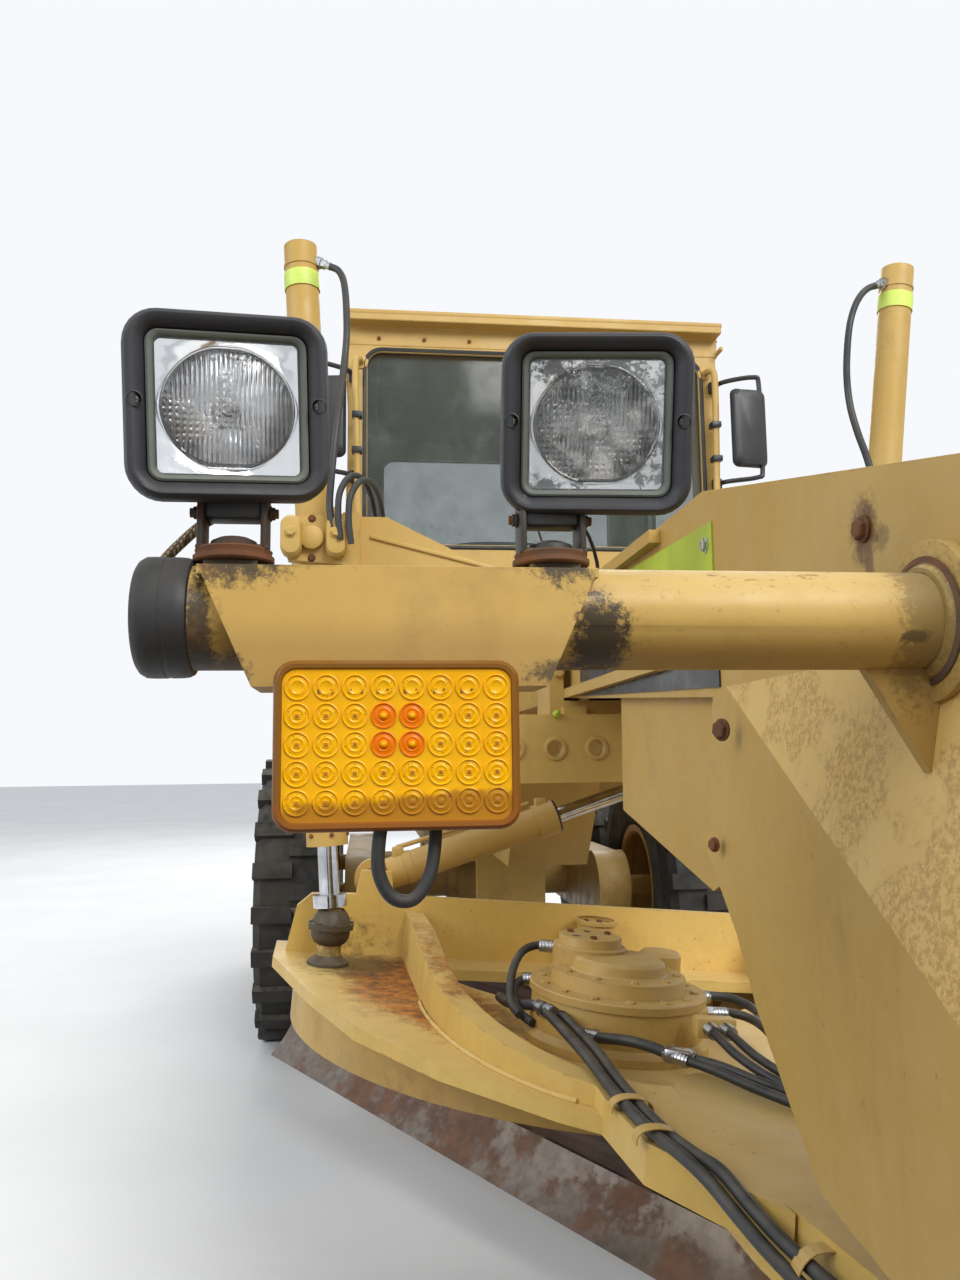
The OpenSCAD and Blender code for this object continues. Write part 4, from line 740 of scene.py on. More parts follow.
def marker_lamp(name, cx, cz, face_y):
    """Amber lamp: a clear brown case with eight by five round optics."""
    p = Piece(name, Matrix.Translation((cx, face_y, cz)))
    p.loft(rims(180, 122, 14, 43.7, 186, 128, 16, 40, 186, 128, 16, 5, 184, 126, 15.5, 1.8, 180, 122, 14, 0,
        174, 116, 11.5, 0.3, 172.5, 113.5, 10.5, 2.2), "amber_rim", cap=FIRST)
    for a in (12.5, 24.5):
        p.loft(rims(186.2, 128.2, 16, a, 187.6, 129.6, 16.5, a + 1.5, 186.2, 128.2, 16, a + 3), "amber_rim",
            cap=OPEN)
    p.loft(rims(172.5, 113.5, 10.5, 2.2, 169, 110, 9, 2.4), "amber", cap=LAST)
    pitch = 0.0214      # from one optic to the next
    for i in range(8):
        for j in range(5):
            x, z = (i - 3.5) * pitch, (2 - j) * pitch + 0.0005
            deep = i in (3, 4) and j in (1, 2)
            m = "amber_deep" if deep else "amber"
            o = vec(x, 0.0026, z)
            blank = j == 0 and i in (0, 7)
            prof = mm(0, 10, 1.2, 9.8, 1.5, 9.2, 1.2, 8.6, 0.4, 8.2, 0.6, 6.2, 1.2, 5.2, 1, 4.6, 0.6, 4)
            if deep:
                prof += mm(1.2, 3.6, 2.4, 2.6, 2.9, 1.2)
            p.lathe(o, FORE, prof, m, 28, cap=LAST)
            if deep:
                p.lathe(o + vec(0, -0.0024, 0), FORE, mm(0, 2.2, 0.9, 1.7, 1.3, 0.6), "amber", 16)
            elif not blank:
                q = o + vec(0, -0.0009, 0)
                if j:
                    p.chip(q, 2.4, -0.3, 0.4, 2.4, "amber", 0.0002)
                    p.chip(q, 1.5, -0.6, 0.4, 1.5, "led_die", 0.0002)
                for _ in range(7):
                    a = rng.uniform(0, 2 * pi)
                    far = rng.uniform(0.0054, 0.0074)
                    c = q + vec(cos(a) * far, 0.0005, sin(a) * far)
                    p.lathe(c, FORE, mm(0, 0.5, 0.3, 0.4), "led_dot", 6, cap=LAST)
                if j == 0:
                    for dx in (-0.0046, 0.0038):
                        c = q + vec(dx + rng.uniform(-0.001, 0.001), 0.0003, -0.003)
                        p.box(c + vec(-0.0012, -0.0002, -0.002), c + vec(0.0012, 0.0002, 0.0018), "led_dot")
    p.done("front", "amber_lens", smooth=40)


# which lamps stand where: on the bars, and at the cab's base
CAB_Y = AY + 3.74       # the cab's front
for s, side in SIDES:
    base = BAR_Z + 0.0463
    work_lamp("outer_lamp_" + side, s * 0.79, s * 0.798, BAR_Y - LAMP_HALF, BAR_Z + 0.176, yaw=-9.5 * s,
        roll=2.7 * s, tilt=7.5, h=0.155, base_z=base)
    work_lamp("inner_lamp_" + side, s * 0.516, s * 0.474, BAR_Y - LAMP_HALF, BAR_Z + 0.174, yaw=9.4 * s,
        roll=-1.9 * s, tilt=13, old=True, h=0.155, base_z=base)
    marker_lamp("amber_lamp_" + side, s * 0.654, BAR_Z - 0.109, BAR_Y - 0.0445 - 0.009 - 0.044)
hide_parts("marker_lamps")
for s, side in SIDES:
    work_lamp("cab_base_lamp_" + side, s * 0.56, s * 0.56, CAB_Y - 0.0983, 1.51, old=s > 0, w=0.15, h=0.11)
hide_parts("work_lamps")


# Cab
CAB_R = AY + 4.98       # the cab's rear
FLOOR_Z, WALL_TOP = 1.45, 3.11
DOOR_0, DOOR_1 = AY + 3.856, AY + 4.714     # the doorways' ends


def turned(loop, x):
    """A loop of the XZ plane laid into the YZ plane at x."""
    return [vec(x, p.x, p.z) for p in loop]


def ring_seal(p, w, h, r, y0, y1, cx, cz, m, band=0.016):
    """Rubber seal around a window, between depths y0 and y1."""
    mid = (y0 + y1) / 2
    rings = ((0.006, 0, y1), (0.002, 0, y0 + (mid - y0) * 0.4), (-band * 0.5, band * 0.2, y0),
        (-band * 1.5, band * 0.6, y0 + (mid - y0) * 0.3), (-band * 2, band, y1))
    p.loft([rr(w + grow, h + grow, r - less, y, 8, cx, cz) for grow, less, y in rings], m, cap=OPEN)


p = Piece("window_seals")
ring_seal(p, 1.386, 0.811, 0.078, CAB_Y - 0.007, CAB_Y + 0.022, 0, 2.6975, "pane_seal", 0.02)
p.at = Matrix.Translation((0, CAB_R, 0)) @ turned_by(180, "Z")
ring_seal(p, 1.212, 0.792, 0.075, -0.007, 0.022, 0, 2.64, "pane_seal", 0.018)
p.at = Matrix.Identity(4)
for s in (-1, 1):
    c = [vec(s * 0.31, 0, FLOOR_Z + 0.62), vec(s * 0.66, 0, FLOOR_Z + 0.76),
         vec(s * 0.66, 0, FLOOR_Z + 0.13), vec(s * 0.52, 0, FLOOR_Z + 0.13)]
    pts = []
    for i in range(4):      # rounded corners
        a, b, d = c[i - 1], c[i], c[(i + 1) % 4]
        u, v = (a - b).normalized(), (d - b).normalized()
        for t in (0, 0.25, 0.5, 0.75, 1):
            pts.append(b + u * 0.03 * (1 - t) ** 2 + v * 0.03 * t ** 2)
    pts.append(pts[0])
    p.tube([q + vec(0, CAB_Y - 0.002, 0) for q in pts], 0.01, "pane_seal", 8, cap=False)
p.done("front", "black_plastic")

for s, side in SIDES:
    y0, y1 = DOOR_0 + 0.07, DOOR_1 - 0.07
    z0, z1 = FLOOR_Z + 0.33, WALL_TOP - 0.066 - 0.08
    p = Piece("door_seal_" + side)
    for xx, sg in ((s * 0.7505, s), (s * 0.7045, -s)):
        p.loft([turned(rr(y1 - y0 + grow, z1 - z0 + grow, r, 0, 6, (y0 + y1) / 2, (z0 + z1) / 2),
            xx + sg * out) for grow, r, out in ((0.03, 0.03, -0.002), (0.024, 0.028, 0.005),
            (-0.004, 0.018, 0.005), (-0.014, 0.014, -0.012))], "pane_seal", cap=OPEN)
    # pull handle with its push button, and hinge bolts
    x = s * 0.75
    handle = at_axle(s, 754, 3900, 1720, 784, 3905, 1735, 786, 3905, 1860, 754, 3900, 1875)
    p.tube(handle, 0.009, "plastic", 10)
    p.lathe((x, AY + 3.905, 1.69), (s, 0, 0), mm(0, 16, 6, 16, 10, 12, 11, 4), "bare", 20)
    for z in (1.53, 2.98):
        for k in range(2):
            p.bolt((x, AY + 4.66 + 0.02 * k, z), (s, 0, 0), 0.011, "darkmetal")
    p.done("door_" + side, "black_plastic")

# roof: rain gutter, front lip, seams and screws
p = Piece("roof_trim")
zr = WALL_TOP + 0.12
p.box((-0.762, AY + 3.678, zr - 0.014), (0.762, AY + 3.692, zr + 0.004), "cab", 0.004)
for s in (-1, 1):
    p.post(s * 0.761, 0.006, AY + 3.69, CAB_R + 0.015, WALL_TOP + 0.012, WALL_TOP + 0.03, "cab", 0.004)
    for k in range(9):
        p.bolt((s * 0.7602, AY + 3.75 + 0.145 * k, zr - 0.045), (s, 0, 0), 0.01, "rusty", washer=False)
for k in range(8):
    p.bolt((-0.63 + 0.18 * k, CAB_Y - 0.0005, WALL_TOP + 0.03), FORE, 0.016, "rusty", washer=False)
p.box((-0.52, AY + 3.92, zr + 0.038), (0.52, AY + 3.935, zr + 0.044), "cab", 0.002)
p.box((-0.52, AY + 4.6, zr + 0.038), (0.52, AY + 4.615, zr + 0.044), "cab", 0.002)
p.done("front", "yellow_paint")

# wiper on the windshield
p = Piece("wiper")
p.lathe((0.02, CAB_Y - 0.001, 2.275), FORE, mm(0, 22, 20, 22, 30, 14, 34, 6), "plastic", 20)
p.tube(at_axle(1, 20, 3716, 2275, -20, 3710, 2400, -60, 3718, 2620), 0.005, "darkmetal", 8)
p.box((-0.068, CAB_Y - 0.016, 2.4), (-0.056, CAB_Y - 0.006, 2.9), "rubber", 0.003, turn=turned_by(-9, "Y"))
p.done("front", "black_plastic")

# bent grab rails at the front corners, their clamps, and the steps
p = Piece("bent_rails_and_steps")
for s in (-1, 1):
    rail = at_axle(s, 700, 3738, 3040, 712, 3695, 3035, 722, 3680, 2990, 716, 3678, 2700, 704, 3678, 2300,
        700, 3682, 2190, 694, 3700, 2150, 690, 3738, 2145)
    p.tube(smooth_path(rail, 6), 0.0135, "cab", 14)
    for z in (2.66, 2.8):
        p.post(s * 0.715, 0.02, CAB_Y - 0.084, CAB_Y - 0.04, z - 0.012, z + 0.012, "plastic", 0.004)
    for z in (3.04, 2.145):
        p.lathe((s * (0.7 if z > 3 else 0.69), CAB_Y, z), FORE, mm(0, 28, 4, 28, 6, 24), "cab", 20)
    sx = s * (0.75 + 0.0623)
    y0 = DOOR_0 + 0.06
    for y in (y0, y0 + 0.42):
        zl = 1.06 if s > 0 else 1.29
        p.post(sx, 0.061, y + 0.001, y + 0.013, zl, FLOOR_Z + 0.009, "low", 0.003)
    for z in ((1.06, 1.29) if s > 0 else (1.29,)):
        for k in range(6):      # serrated tread
            a = -0.06 + 0.0235 * k
            p.box((sx + a, y0 + 0.014, z + 0.001), (sx + a + 0.004, y0 + 0.42, z + 0.016), "low", 0.001)
        for k in range(14):
            q = y0 + 0.02 + 0.0295 * k
            p.post(sx, 0.06, q, q + 0.004, z + 0.002, z + 0.0155, "low", 0.001)
    p.post(sx, 0.061, y0 + 0.002, y0 + 0.432, FLOOR_Z - 0.02, FLOOR_Z - 0.008, "low", 0.002)
p.done("front", "yellow_paint", replaces=("grab_rails",))

# mirrors on bent arms
M["mirror_glass"] = Mat("mirror_glass", color=srgb(205, 212, 216), rough=0.05, metal=1.0).m
p = Piece("mirror_heads")
for s in (-1, 1):
    arm = at_axle(s, 730, 3728, 2975, 760, 3680, 2984, 860, 3622, 2984, 880, 3619, 2955, 880, 3619, 2780,
        880, 3619, 2600, 860, 3622, 2572, 760, 3680, 2570, 730, 3728, 2570)
    p.tube(smooth_path(arm, 5), 0.0095, "plastic", 10)
    for z in (2.975, 2.57):
        p.post(s * 0.73, 0.018, CAB_Y - 0.03, CAB_Y - 0.0005, z - 0.022, z + 0.022, "plastic", 0.005)
    p.at = Matrix.Translation((s * 0.83, CAB_Y - 0.131, 2.77)) @ turned_by(s * 8, "Z") @ turned_by(180, "Z")
    p.loft(rims(100, 270, 30, 18, 132, 302, 30, 12, 148, 318, 28, -2, 149, 319, 26, -12, 141, 311, 22, -14),
        "plastic", cap=FIRST)
    p.loft(rims(141, 311, 22, -12.5, 100, 270, 20, -13.5), "mirror_glass", cap=LAST)
    p.at = Matrix.Identity(4)
    for z in (2.7, 2.84):
        p.box((s * 0.88 - 0.022, CAB_Y - 0.128, z - 0.012), (s * 0.88 + 0.012, CAB_Y - 0.108, z + 0.012),
            "plastic", 0.004)
p.done("front", "black_plastic", replaces=("mirrors",))


# Marks of use and painted shade on the front frame and the lamp bars
def blob(m, at, size, scale=34, ragged=0.9, edge=0.35):
    """Dense in the middle of an ellipsoid, fading to specks at its rim."""
    s = tuple(1 / x for x in size)
    n = m.new("Mapping", {"Vector": m.mirrored or m.co, "Scale": s,
        "Location": tuple(-a * k for a, k in zip(at, s))})
    far = m.new("VectorMath", {0: n}, "Value", operation="LENGTH")
    v = m.new("Math", {0: m.noise(scale, 10, 0.82), 1: -3.2 * ragged, 2: far}, operation="MULTIPLY_ADD")
    return m.step(v, 1.18 - 1.6 * ragged, 0.98 - 1.6 * ragged - edge)


def both_sides(m):
    """Marks mirrored: x becomes its distance from the middle."""
    m.mirrored = m.new("CombineXYZ", {0: m.abs(m.pos(0)), 1: m.pos(1), 2: m.pos(2)})


def bar_marks(m, c):
    """Darker brown on the bar's lower half, flecks on its tube, dark blobs and soot specks by the lamps, and
    painted shade where the tube meets the frame.
    """
    both_sides(m)
    z = m.pos(2)
    ax = m.part(m.mirrored, 0)
    tube = m.mul(m.step(ax, 0.47, 0.46), m.step(ax, 0.1, 0.12))
    end = m.step(ax, 0.78, 0.8)
    # darker brown on the lower half of the tube
    c = m.tint(c, m.step(z, BAR_Z + 0.002, BAR_Z - 0.034), 0.34, 116, 82, 40)
    flecks = m.mul(m.step(m.noise(48, 9, 0.8, at=m.scaled((0.5, 1, 1))), 0.57, 0.62),
        m.step(z, BAR_Z + 0.016, BAR_Z + 0.027))
    c = m.tint(c, m.mul(flecks, tube), 0.75, 140, 84, 40)
    c = m.mix(m.mul(m.step(m.noise(90, 6, 0.8), 0.6, 0.66), m.mul(tube, 0.4)), c, RUST2)
    # dark blobs at the lamp feet and under the tube; the two near x 0.19 and 0.2 are painted shade where the
    # tube meets the frame
    for x, y, up, w, h, k in ((781, 820, 52, 52, 32, 0.9), (516, 820, 52, 34, 30, 0.9),
            (813, 820, -20, 13, 50, 0.92), (800, 820, -50, 30, 18, 0.85), (482, 820, -22, 26, 40, 0.95),
            (505, 820, -52, 45, 12, 0.8), (203, 820, -19, 16, 6, 0.6), (190, 840, 0, 26, 80, 0.45)):
        at, size = (x / 1000, AY + y / 1000, BAR_Z + up / 1000), (w / 1000, 0.3, h / 1000)
        c = m.mix(m.mul(blob(m, at, size, 120), k), c, SOOT_AND_SHADE)
    dots = m.mul(m.step(m.noise(170, 4, 0.8), 0.66, 0.7), m.step(m.abs(m.op("SUBTRACT", ax, 0.65)), 0.16,
        0.12))
    c = m.mix(m.mul(dots, m.step(z, BAR_Z + 0.02, BAR_Z + 0.06, 0.25, 0.85)), c, SOOT_AND_SHADE)
    return m.tint(c, end, m.step(m.noise(60, 8, 0.8), 0.5, 0.62, 0, 0.5), 120, 86, 44)


def frame_marks(m, c):
    """Brown patches and runs by the bolts, smudges, and the shade under the beam."""
    both_sides(m)
    for at, size, col, k in (((0.15, AY + 0.991, 1.722), (0.06, 0.03, 0.04), RUST, 0.9),
            ((0.15, AY + 0.985, 1.69), (0.06, 0.012, 0.034), srgb(120, 84, 44), 0.8),
            ((0.15, AY + 0.955, 1.705), (0.06, 0.014, 0.016), SOOT_AND_SHADE, 0.45),
            ((0.235, AY + 1.35, 1.52), (0.06, 0.03, 0.03), srgb(128, 84, 44), 0.7),
            ((0.235, AY + 1.447, 1.353), (0.06, 0.018, 0.03), srgb(120, 84, 50), 0.6)):
        c = m.mix(m.mul(blob(m, at, size, 60, 0.8, 0.5), k), c, col)
    low = m.step(m.normal(2), -0.35, -0.9)
    return m.tint(c, low, 0.35, 104, 78, 40)


def low_marks(m, c):
    """Rust on the drawbar's yoke plate, by the lift balls, and a painted shadow around each lift ball."""
    both_sides(m)
    level = m.step(m.normal(2), 0.8, 0.93)
    a = blob(m, (0.6, AY + 2.42, 0.9), (0.15, 0.34, 0.2), 9, 0.7, 0.5)
    b = blob(m, (0.48, AY + 2.16, 0.9), (0.11, 0.24, 0.2), 12, 0.8, 0.5)
    r = m.mul(m.add(a, b), level)
    tone = m.blend((26, 8, 0.75), 0.42, 0.6, srgb(112, 58, 16), srgb(186, 112, 30))
    tone = m.spots(tone, (14, 8, 0.8), 0.5, 0.62, 0.8, 58, 38, 22)
    c = m.mix(m.mul(r, 0.93), c, tone)
    # painted shadow around the lift ball
    d = blob(m, (0.705, AY + 2.56, 0.95), (0.13, 0.14, 0.16), 30, 0.8, 0.5)
    return m.tint(c, d, 0.75, 52, 42, 28)


M["bar"] = yellow("lamp_bar_paint", grime=0.45, rust=0.8, marks=bar_marks)
M["frame"] = yellow("peeling_yellow_paint_with_painted_light", grime=0.42, rust=0.7, peel_and_facet_light=1.0, marks=frame_marks)
# lighter base and fade colours than the other paint: painted light for the drawbar's lit top
M["drawbar"] = yellow("drawbar_paint", base=srgb(206, 170, 84), faded=srgb(222, 190, 112), grime=0.3,
    rust=0.8, marks=low_marks)
look(N["light_bars"], "bar")
look(N["front_frame"], "frame")
look(N["drawbar"], "drawbar")

# rubber caps on the bar ends, and collars at their roots
p = Piece("bar_fittings")
for s in (-1, 1):
    prof = mm(820.5, 45.5, 821.5, 48.5, 825, 50.2, 830, 50.8, 838, 51, 838.5, 50.6, 842, 50.6, 842.5, 51,
        852, 51.1, 858.5, 50.8, 863, 48.2, 865.2, 44.8, 865.6, 38, 865.6, 10)
    p.lathe((0, BAR_Y, BAR_Z), (s, 0, 0), prof, "rubber", 48)
    # ring where the tube meets the side of the frame
    p.lathe((0, BAR_Y, BAR_Z), (s, 0, 0), mm(176, 45, 176, 49.5, 170, 53, 166, 58), "bar", 40, cap=OPEN)
    p.lathe((0, BAR_Y, BAR_Z), (s, 0, 0), mm(170.2, 60, 171.2, 56, 172.2, 54.5), "disc", 40, cap=OPEN)
    # bolts on the frame's side
    p.bolt((s * 0.1505, AY + 0.991, 1.723), (s, 0, 0), 0.024, "rusty")
    # small bracket for the cable behind the outer lamp
    p.post(s * 0.8, 0.012, BAR_Y + 0.03, BAR_Y + 0.052, BAR_Z + 0.036, BAR_Z + 0.052, "darkmetal", 0.003)
p.done("front", "black_plastic")

p = Piece("frame_bolts")
for s in (-1, 1):
    for y, z, d in ((1.35, 1.52, 0.026), (1.447, 1.353, 0.018)):
        # on the flared side of the leg: find its x from the front outline
        n = vec(s * 0.94, -0.34, 0.0).normalized()
        x = 0.235 - (y - 1.05) * 0.18
        p.bolt((s * x, AY + y, z), n, d, "rusty")
    for y, z in ((1.466, 1.81), (1.95, 1.845), (1.6, 1.705), (2.05, 1.715)):
        p.bolt((s * 0.1525, AY + y, z), (s, 0, 0), 0.02, "fitting")
    # inspection panel along the beam, lime above and blue-black below
    p.panel(at_axle(s, 150.3, 1440, 1742, 150.3, 2360, 1762, 150.3, 2360, 1872, 150.3, 1440, 1842), 0.0022,
            "green", (s, 0, 0))
    p.panel(at_axle(s, 150.3, 1430, 1586, 150.3, 2380, 1632, 150.3, 2380, 1756, 150.3, 1430, 1736), 0.0028,
            "panel", (s, 0, 0))
p.done("front", "yellow_paint")

# braided conduits to the outer lamps, and the loops under the amber lamps
for s, side in SIDES:
    pts = at_axle(s, 800, 872, 1700, 818, 876, 1690, 836, 882, 1676, 856, 889, 1656, 867, 899, 1634,
        868, 908, 1614, 858, 915, 1600, 840, 918, 1594, 816, 917, 1592, 790, 914, 1592, 760, 911, 1593)
    hose("outer_conduit_" + side, pts, 0.0095, "front", "braid")
    loop = mm(-10, 775, 1446, -14, 776, 1424, -14, 777, 1400, -4, 779, 1382, 12, 781, 1380, 24, 784, 1396,
        29, 788, 1420, 30, 796, 1450, 30, 812, 1480, n=3)
    pts = [vec(s * 0.654 + x, AY + y, z) for x, y, z in loop]
    hose("amber_cable_" + side, pts, 0.0105, "front", "hose")
    pts = at_axle(s, 486, 862, 1690, 478, 872, 1682, 471, 880, 1668, 468, 886, 1652, 474, 900, 1630,
        486, 908, 1612)
    hose("inner_wire_" + side, pts, 0.0035, "front", "plastic")


# Lift cylinders and the saddle
# the drawbar's own frame: its ball, turned as the blade stands
DB = (Matrix.Translation((0, AY + 0.6, 0.905)) @ turned_by(2.2, "Z") @ turned_by(5, "Y") @ turned_by(1, "X"))
BALL_X, BALL_Y, BALL_Z = 0.7, 1.98, 0.074       # the lift balls in that frame
SAD = AY + 2.58         # the saddle
UPPER, LOWER = 0.85, 0.76       # the barrel's ends, from its trunnion
BAND_0, BAND_1, BAND_R = 0.082, 0.13, 0.0475       # ends and radius of the lime band


def db(x, y, z):
    return DB @ vec(x, y, z)


for s, side, tx in ((-1, "right", 0.815), (1, "left", 0.76)):
    t = vec(s * tx, SAD, 2.04)
    low = db(s * BALL_X, BALL_Y, BALL_Z)
    w = (low - t).normalized()
    top = t - w * UPPER
    p = Piece("lift_cylinder_fittings_" + side)
    # closed top with a chamfered cover, seam lines, the lime band
    p.lathe(top, w, mm(-3.5, 5, -3.5, 38, -0.5, 44, 2, 45.2), "paint", 32, cap=FIRST)
    p.lathe(top, w, mm(56, 45.2, 56.5, 47.5, 64, 47.5, 64.5, 45.2), "paint", 32, cap=OPEN)
    p.lathe(top, w, [(BAND_0, BAND_R - 0.001), (BAND_0 + 0.0005, BAND_R + 0.0006),
        (BAND_1 - 0.0005, BAND_R + 0.0006), (BAND_1, BAND_R - 0.001)], "lime", 32, cap=OPEN)
    # silver elbow above the band, towards the middle of the machine
    q = top + w * 0.048 + vec(-s * 0.045, -0.012, 0)
    d = vec(-s, -0.3, -0.45).normalized()
    p.lathe(q, d, mm(-4, 16.5, 12, 16.5, 13, 13, 26, 13), "fitting", 6, smooth=False)
    p.lathe(q, d, mm(24, 10.5, 40, 10.5), "fitting", 16)
    # port block and pipe down the barrel
    q2 = t + w * 0.64 + vec(-s * 0.045, -0.01, 0)
    p.box(q2 - vec(0.02, 0.02, 0.028), q2 + vec(0.02, 0.02, 0.028), "paint", 0.006)
    pipe = [t - w * 0.1 + vec(-s * 0.064, -0.04, 0), t + w * 0.05 + vec(-s * 0.068, -0.046, 0),
            t + w * 0.35 + vec(-s * 0.06, -0.03, 0), q2 + vec(0, -0.006, 0.02)]
    p.tube(smooth_path(pipe, 6), 0.0075, "paint", 10)
    # rings and set screws of the collar
    for u in (-0.07, 0.07):
        p.lathe(t + w * u, w, mm(-5, 60.5, -4, 62.5, 4, 62.5, 5, 60.5), "paint", 36, cap=OPEN)
    u = w.orthogonal().normalized()
    for a in turns(6):
        out = u * cos(a) + w.cross(u) * sin(a)
        p.bolt(t + w * 0.745 + out * 0.0515, out, 0.012, "rusty", washer=False)
    # gland nut at the barrel's lower end
    g = t + w * LOWER
    p.lathe(g, w, mm(-12, 45.2, -12, 48, -1, 48, 2, 45, 3, 31.5), "darkmetal", 32, cap=OPEN)
    p.done("lift_barrel_" + side, "yellow_paint")

    # rounded bosses beside the barrel with their bolts, on the saddle's front ears
    p = Piece("trunnion_caps_" + side)
    for e in (-1, 1):
        c = t + vec(e * 0.062, -0.116, 0)
        if e * s > 0:
            c.x -= e * 0.012
        p.loft([rr(0.052 * k, 0.104 * k, 0.024 * k, c.y + y, 6, c.x, c.z)
                for y, k in ((0.012, 1.0), (-0.022, 1.0), (-0.03, 0.86), (-0.032, 0.62))], "paint")
        p.bolt((c.x, c.y - 0.032, c.z + 0.008), FORE, 0.024, "paint")
    for dz in (0.052, -0.05):
        p.bolt((t.x, SAD - 0.1045, t.z + dz), FORE, 0.016, "rusty")
    p.lathe((t.x, SAD - 0.118, t.z), FORE, mm(0, 30, 6, 30, 10, 24), "paint", 30)
    # web on the arm that carries the fork
    x0, x1 = s * 0.2, s * (tx - 0.14)
    p.box((min(x0, x1), SAD - 0.066, 1.995), (max(x0, x1), SAD - 0.058, 2.005), "paint", 0.002,
          turn=turned_by(-14 * s, "Y"))
    p.done("front", "yellow_paint")

# hoses of the lift cylinders
RISE = at_axle(-1, 778.5, 2582, 2825, 757, 2573, 2811, 743, 2558, 2780, 736, 2540, 2735, 732, 2520, 2670,
    731, 2505, 2590, 738, 2495, 2500, 748, 2485, 2400, 758, 2470, 2300, 766, 2455, 2200, 770, 2445, 2120,
    762, 2440, 2060)
LEFT = at_axle(1, 776, 2540, 2821, 750, 2531, 2808, 722, 2522, 2782, 696, 2513, 2742, 674, 2506, 2685,
    659, 2500, 2610, 650, 2495, 2525, 652, 2490, 2440, 664, 2480, 2360, 678, 2465, 2285, 684, 2450, 2210,
    676, 2440, 2140)
for side, pts in (("right", RISE), ("left", LEFT)):
    hose("lift_hose_" + side, pts, 0.019, "lift_barrel_" + side)
for s, side, out in ((-1, "right", 0), (1, "left", -55)):
    for n, dx, dz in (("a", 0, 0), ("b", 26, -12)):
        loop = mm(742 + out, 2430, 2030, 748 + out, 2425, 2090, 744 + out, 2430, 2150, 720 + out, 2480, 2205,
            690, 2620, 2240, 664, 2820, 2240, 648, 3020, 2190, 640, 3200, 2090, 636, 3340, 1950,
            632, 3440, 1780, 628, 3520, 1600, 622, 3600, 1440, n=3)
        pts = [vec(s * (x - dx / 1000), AY + y, z + dz / 1000) for x, y, z in loop]
        hose("saddle_hose_%s_%s" % (n, side), pts, 0.017, "front")

# rings around the link bar's holes, bolts and a nipple
p = Piece("link_bar_details")
for k in range(-3, 4):
    c = vec(k * 0.105, SAD - 0.1505, 1.505)
    p.lathe(c, FORE, mm(-2, 29, 4, 29, 5, 27, 5, 21, -2, 20.5), "low", 28, cap=OPEN)
for s in (-1, 1):
    for x, z in ((0.12, 1.64), (0.185, 1.7), (0.185, 1.86)):
        p.bolt((s * x, SAD - 0.091, z), FORE, 0.026, "low")
    for z in (1.7, 1.8, 1.88):
        for y in (-0.05, 0.05):
            p.bolt((s * 0.2105, SAD + y, z), (s, 0, 0), 0.024, "low")
p.lathe((-0.205, SAD - 0.152, 1.59), (0, -1, 0.3), mm(0, 10, 6, 10, 10, 6, 16, 6, 20, 2), "green", 14)
p.done("front", "yellow_paint")


# Drawbar: gearbox, hoses along the tongue, clips, lift balls
DRX, DRY = -0.13, 1.42        # the middle of the gearbox
p = Piece("gearbox_details", DB)
c = (DRX - 0.045, DRY + 0.06, 0)
for z, r, n, d, start in ((0.0853, 0.152, 14, 0.017, 0.1), (0.1143, 0.116, 10, 0.015, 0.3)):
    for a in turns(n, start):
        q = vec(DRX + cos(a) * r, DRY + sin(a) * r, z)
        if z < 0.1 or (q.xy - Vector(c).xy).length > 0.078:
            p.bolt(q, UP, d, "low")
# flange ring, rounded shoulders, dome and cap
for at, n, cap, prof in (((DRX, DRY, 0), 72, OPEN, mm(70, 170, 71.5, 176, 85, 176, 87.5, 173.5, 87.5, 134.5)),
        ((DRX, DRY, 0), 72, OPEN, mm(-19.5, 184.5, -5, 184.5, 0, 179, 6, 170.4)),
        ((DRX, DRY, 0), 64, LAST, mm(112, 134.5, 115, 133.5, 116.5, 100, 120, 96, 136, 93, 142, 86, 145, 50,
        145.2, 6)), (c, 40, OPEN, mm(110, 76, 150, 76, 152, 73.5, 153, 65.5)),
        (c, 40, LAST, mm(169.5, 65.5, 171.2, 64, 171.2, 6))):
    p.lathe(at, UP, prof, "low", n, cap=cap)
for a in (0.4, 2.5, 4.6):
    p.bolt((c[0] + cos(a) * 0.045, c[1] + sin(a) * 0.045, 0.1712), UP, 0.014, "rusty", washer=False)
for a in (1.5, 3.6):
    p.lathe((c[0] + cos(a) * 0.038, c[1] + sin(a) * 0.038, 0.1708), UP, mm(0, 8, 0.8, 7.8, 0.8, 1), "plastic",
        14)
# motor on the gearbox's rear side and the side ports
p.lathe((DRX + 0.115, DRY + 0.08, 0.08), UP, mm(-30, 44, 55, 44, 62, 38, 64, 10), "low", 32)
for x, y, z, d in ((-0.213, 1.555, 0.128, (-1, 0.35, 0)), (-0.256, 1.5, 0.07, (-1, 0.4, 0)),
        (0.05, 1.5, 0.05, (1, 0.1, 0)), (0.046, 1.395, 0.045, (1, -0.1, 0)),
        (-0.22, 1.272, 0.028, (-0.4, -1, 0))):
    v = Vector(d).normalized()
    p.lathe((x, y, z), v, mm(-40, 16, 4, 16, 5, 12, 12, 12), "low", 16)
# swivel: stacked rings and bolts
for z0, z1, r in ((0.1, 0.112, 0.056), (0.03, 0.044, 0.062), (0.06, 0.07, 0.056)):
    p.lathe((0, 2.05, 0), UP, [(z0, 0.0495), (z0 + 0.001, r), (z1 - 0.001, r), (z1, 0.0495)], "low", 40,
        cap=OPEN)
for a in turns(6):
    p.bolt((cos(a) * 0.036, 2.05 + sin(a) * 0.036, 0.1003), UP, 0.014, "rusty")
p.done("drawbar", "yellow_paint")

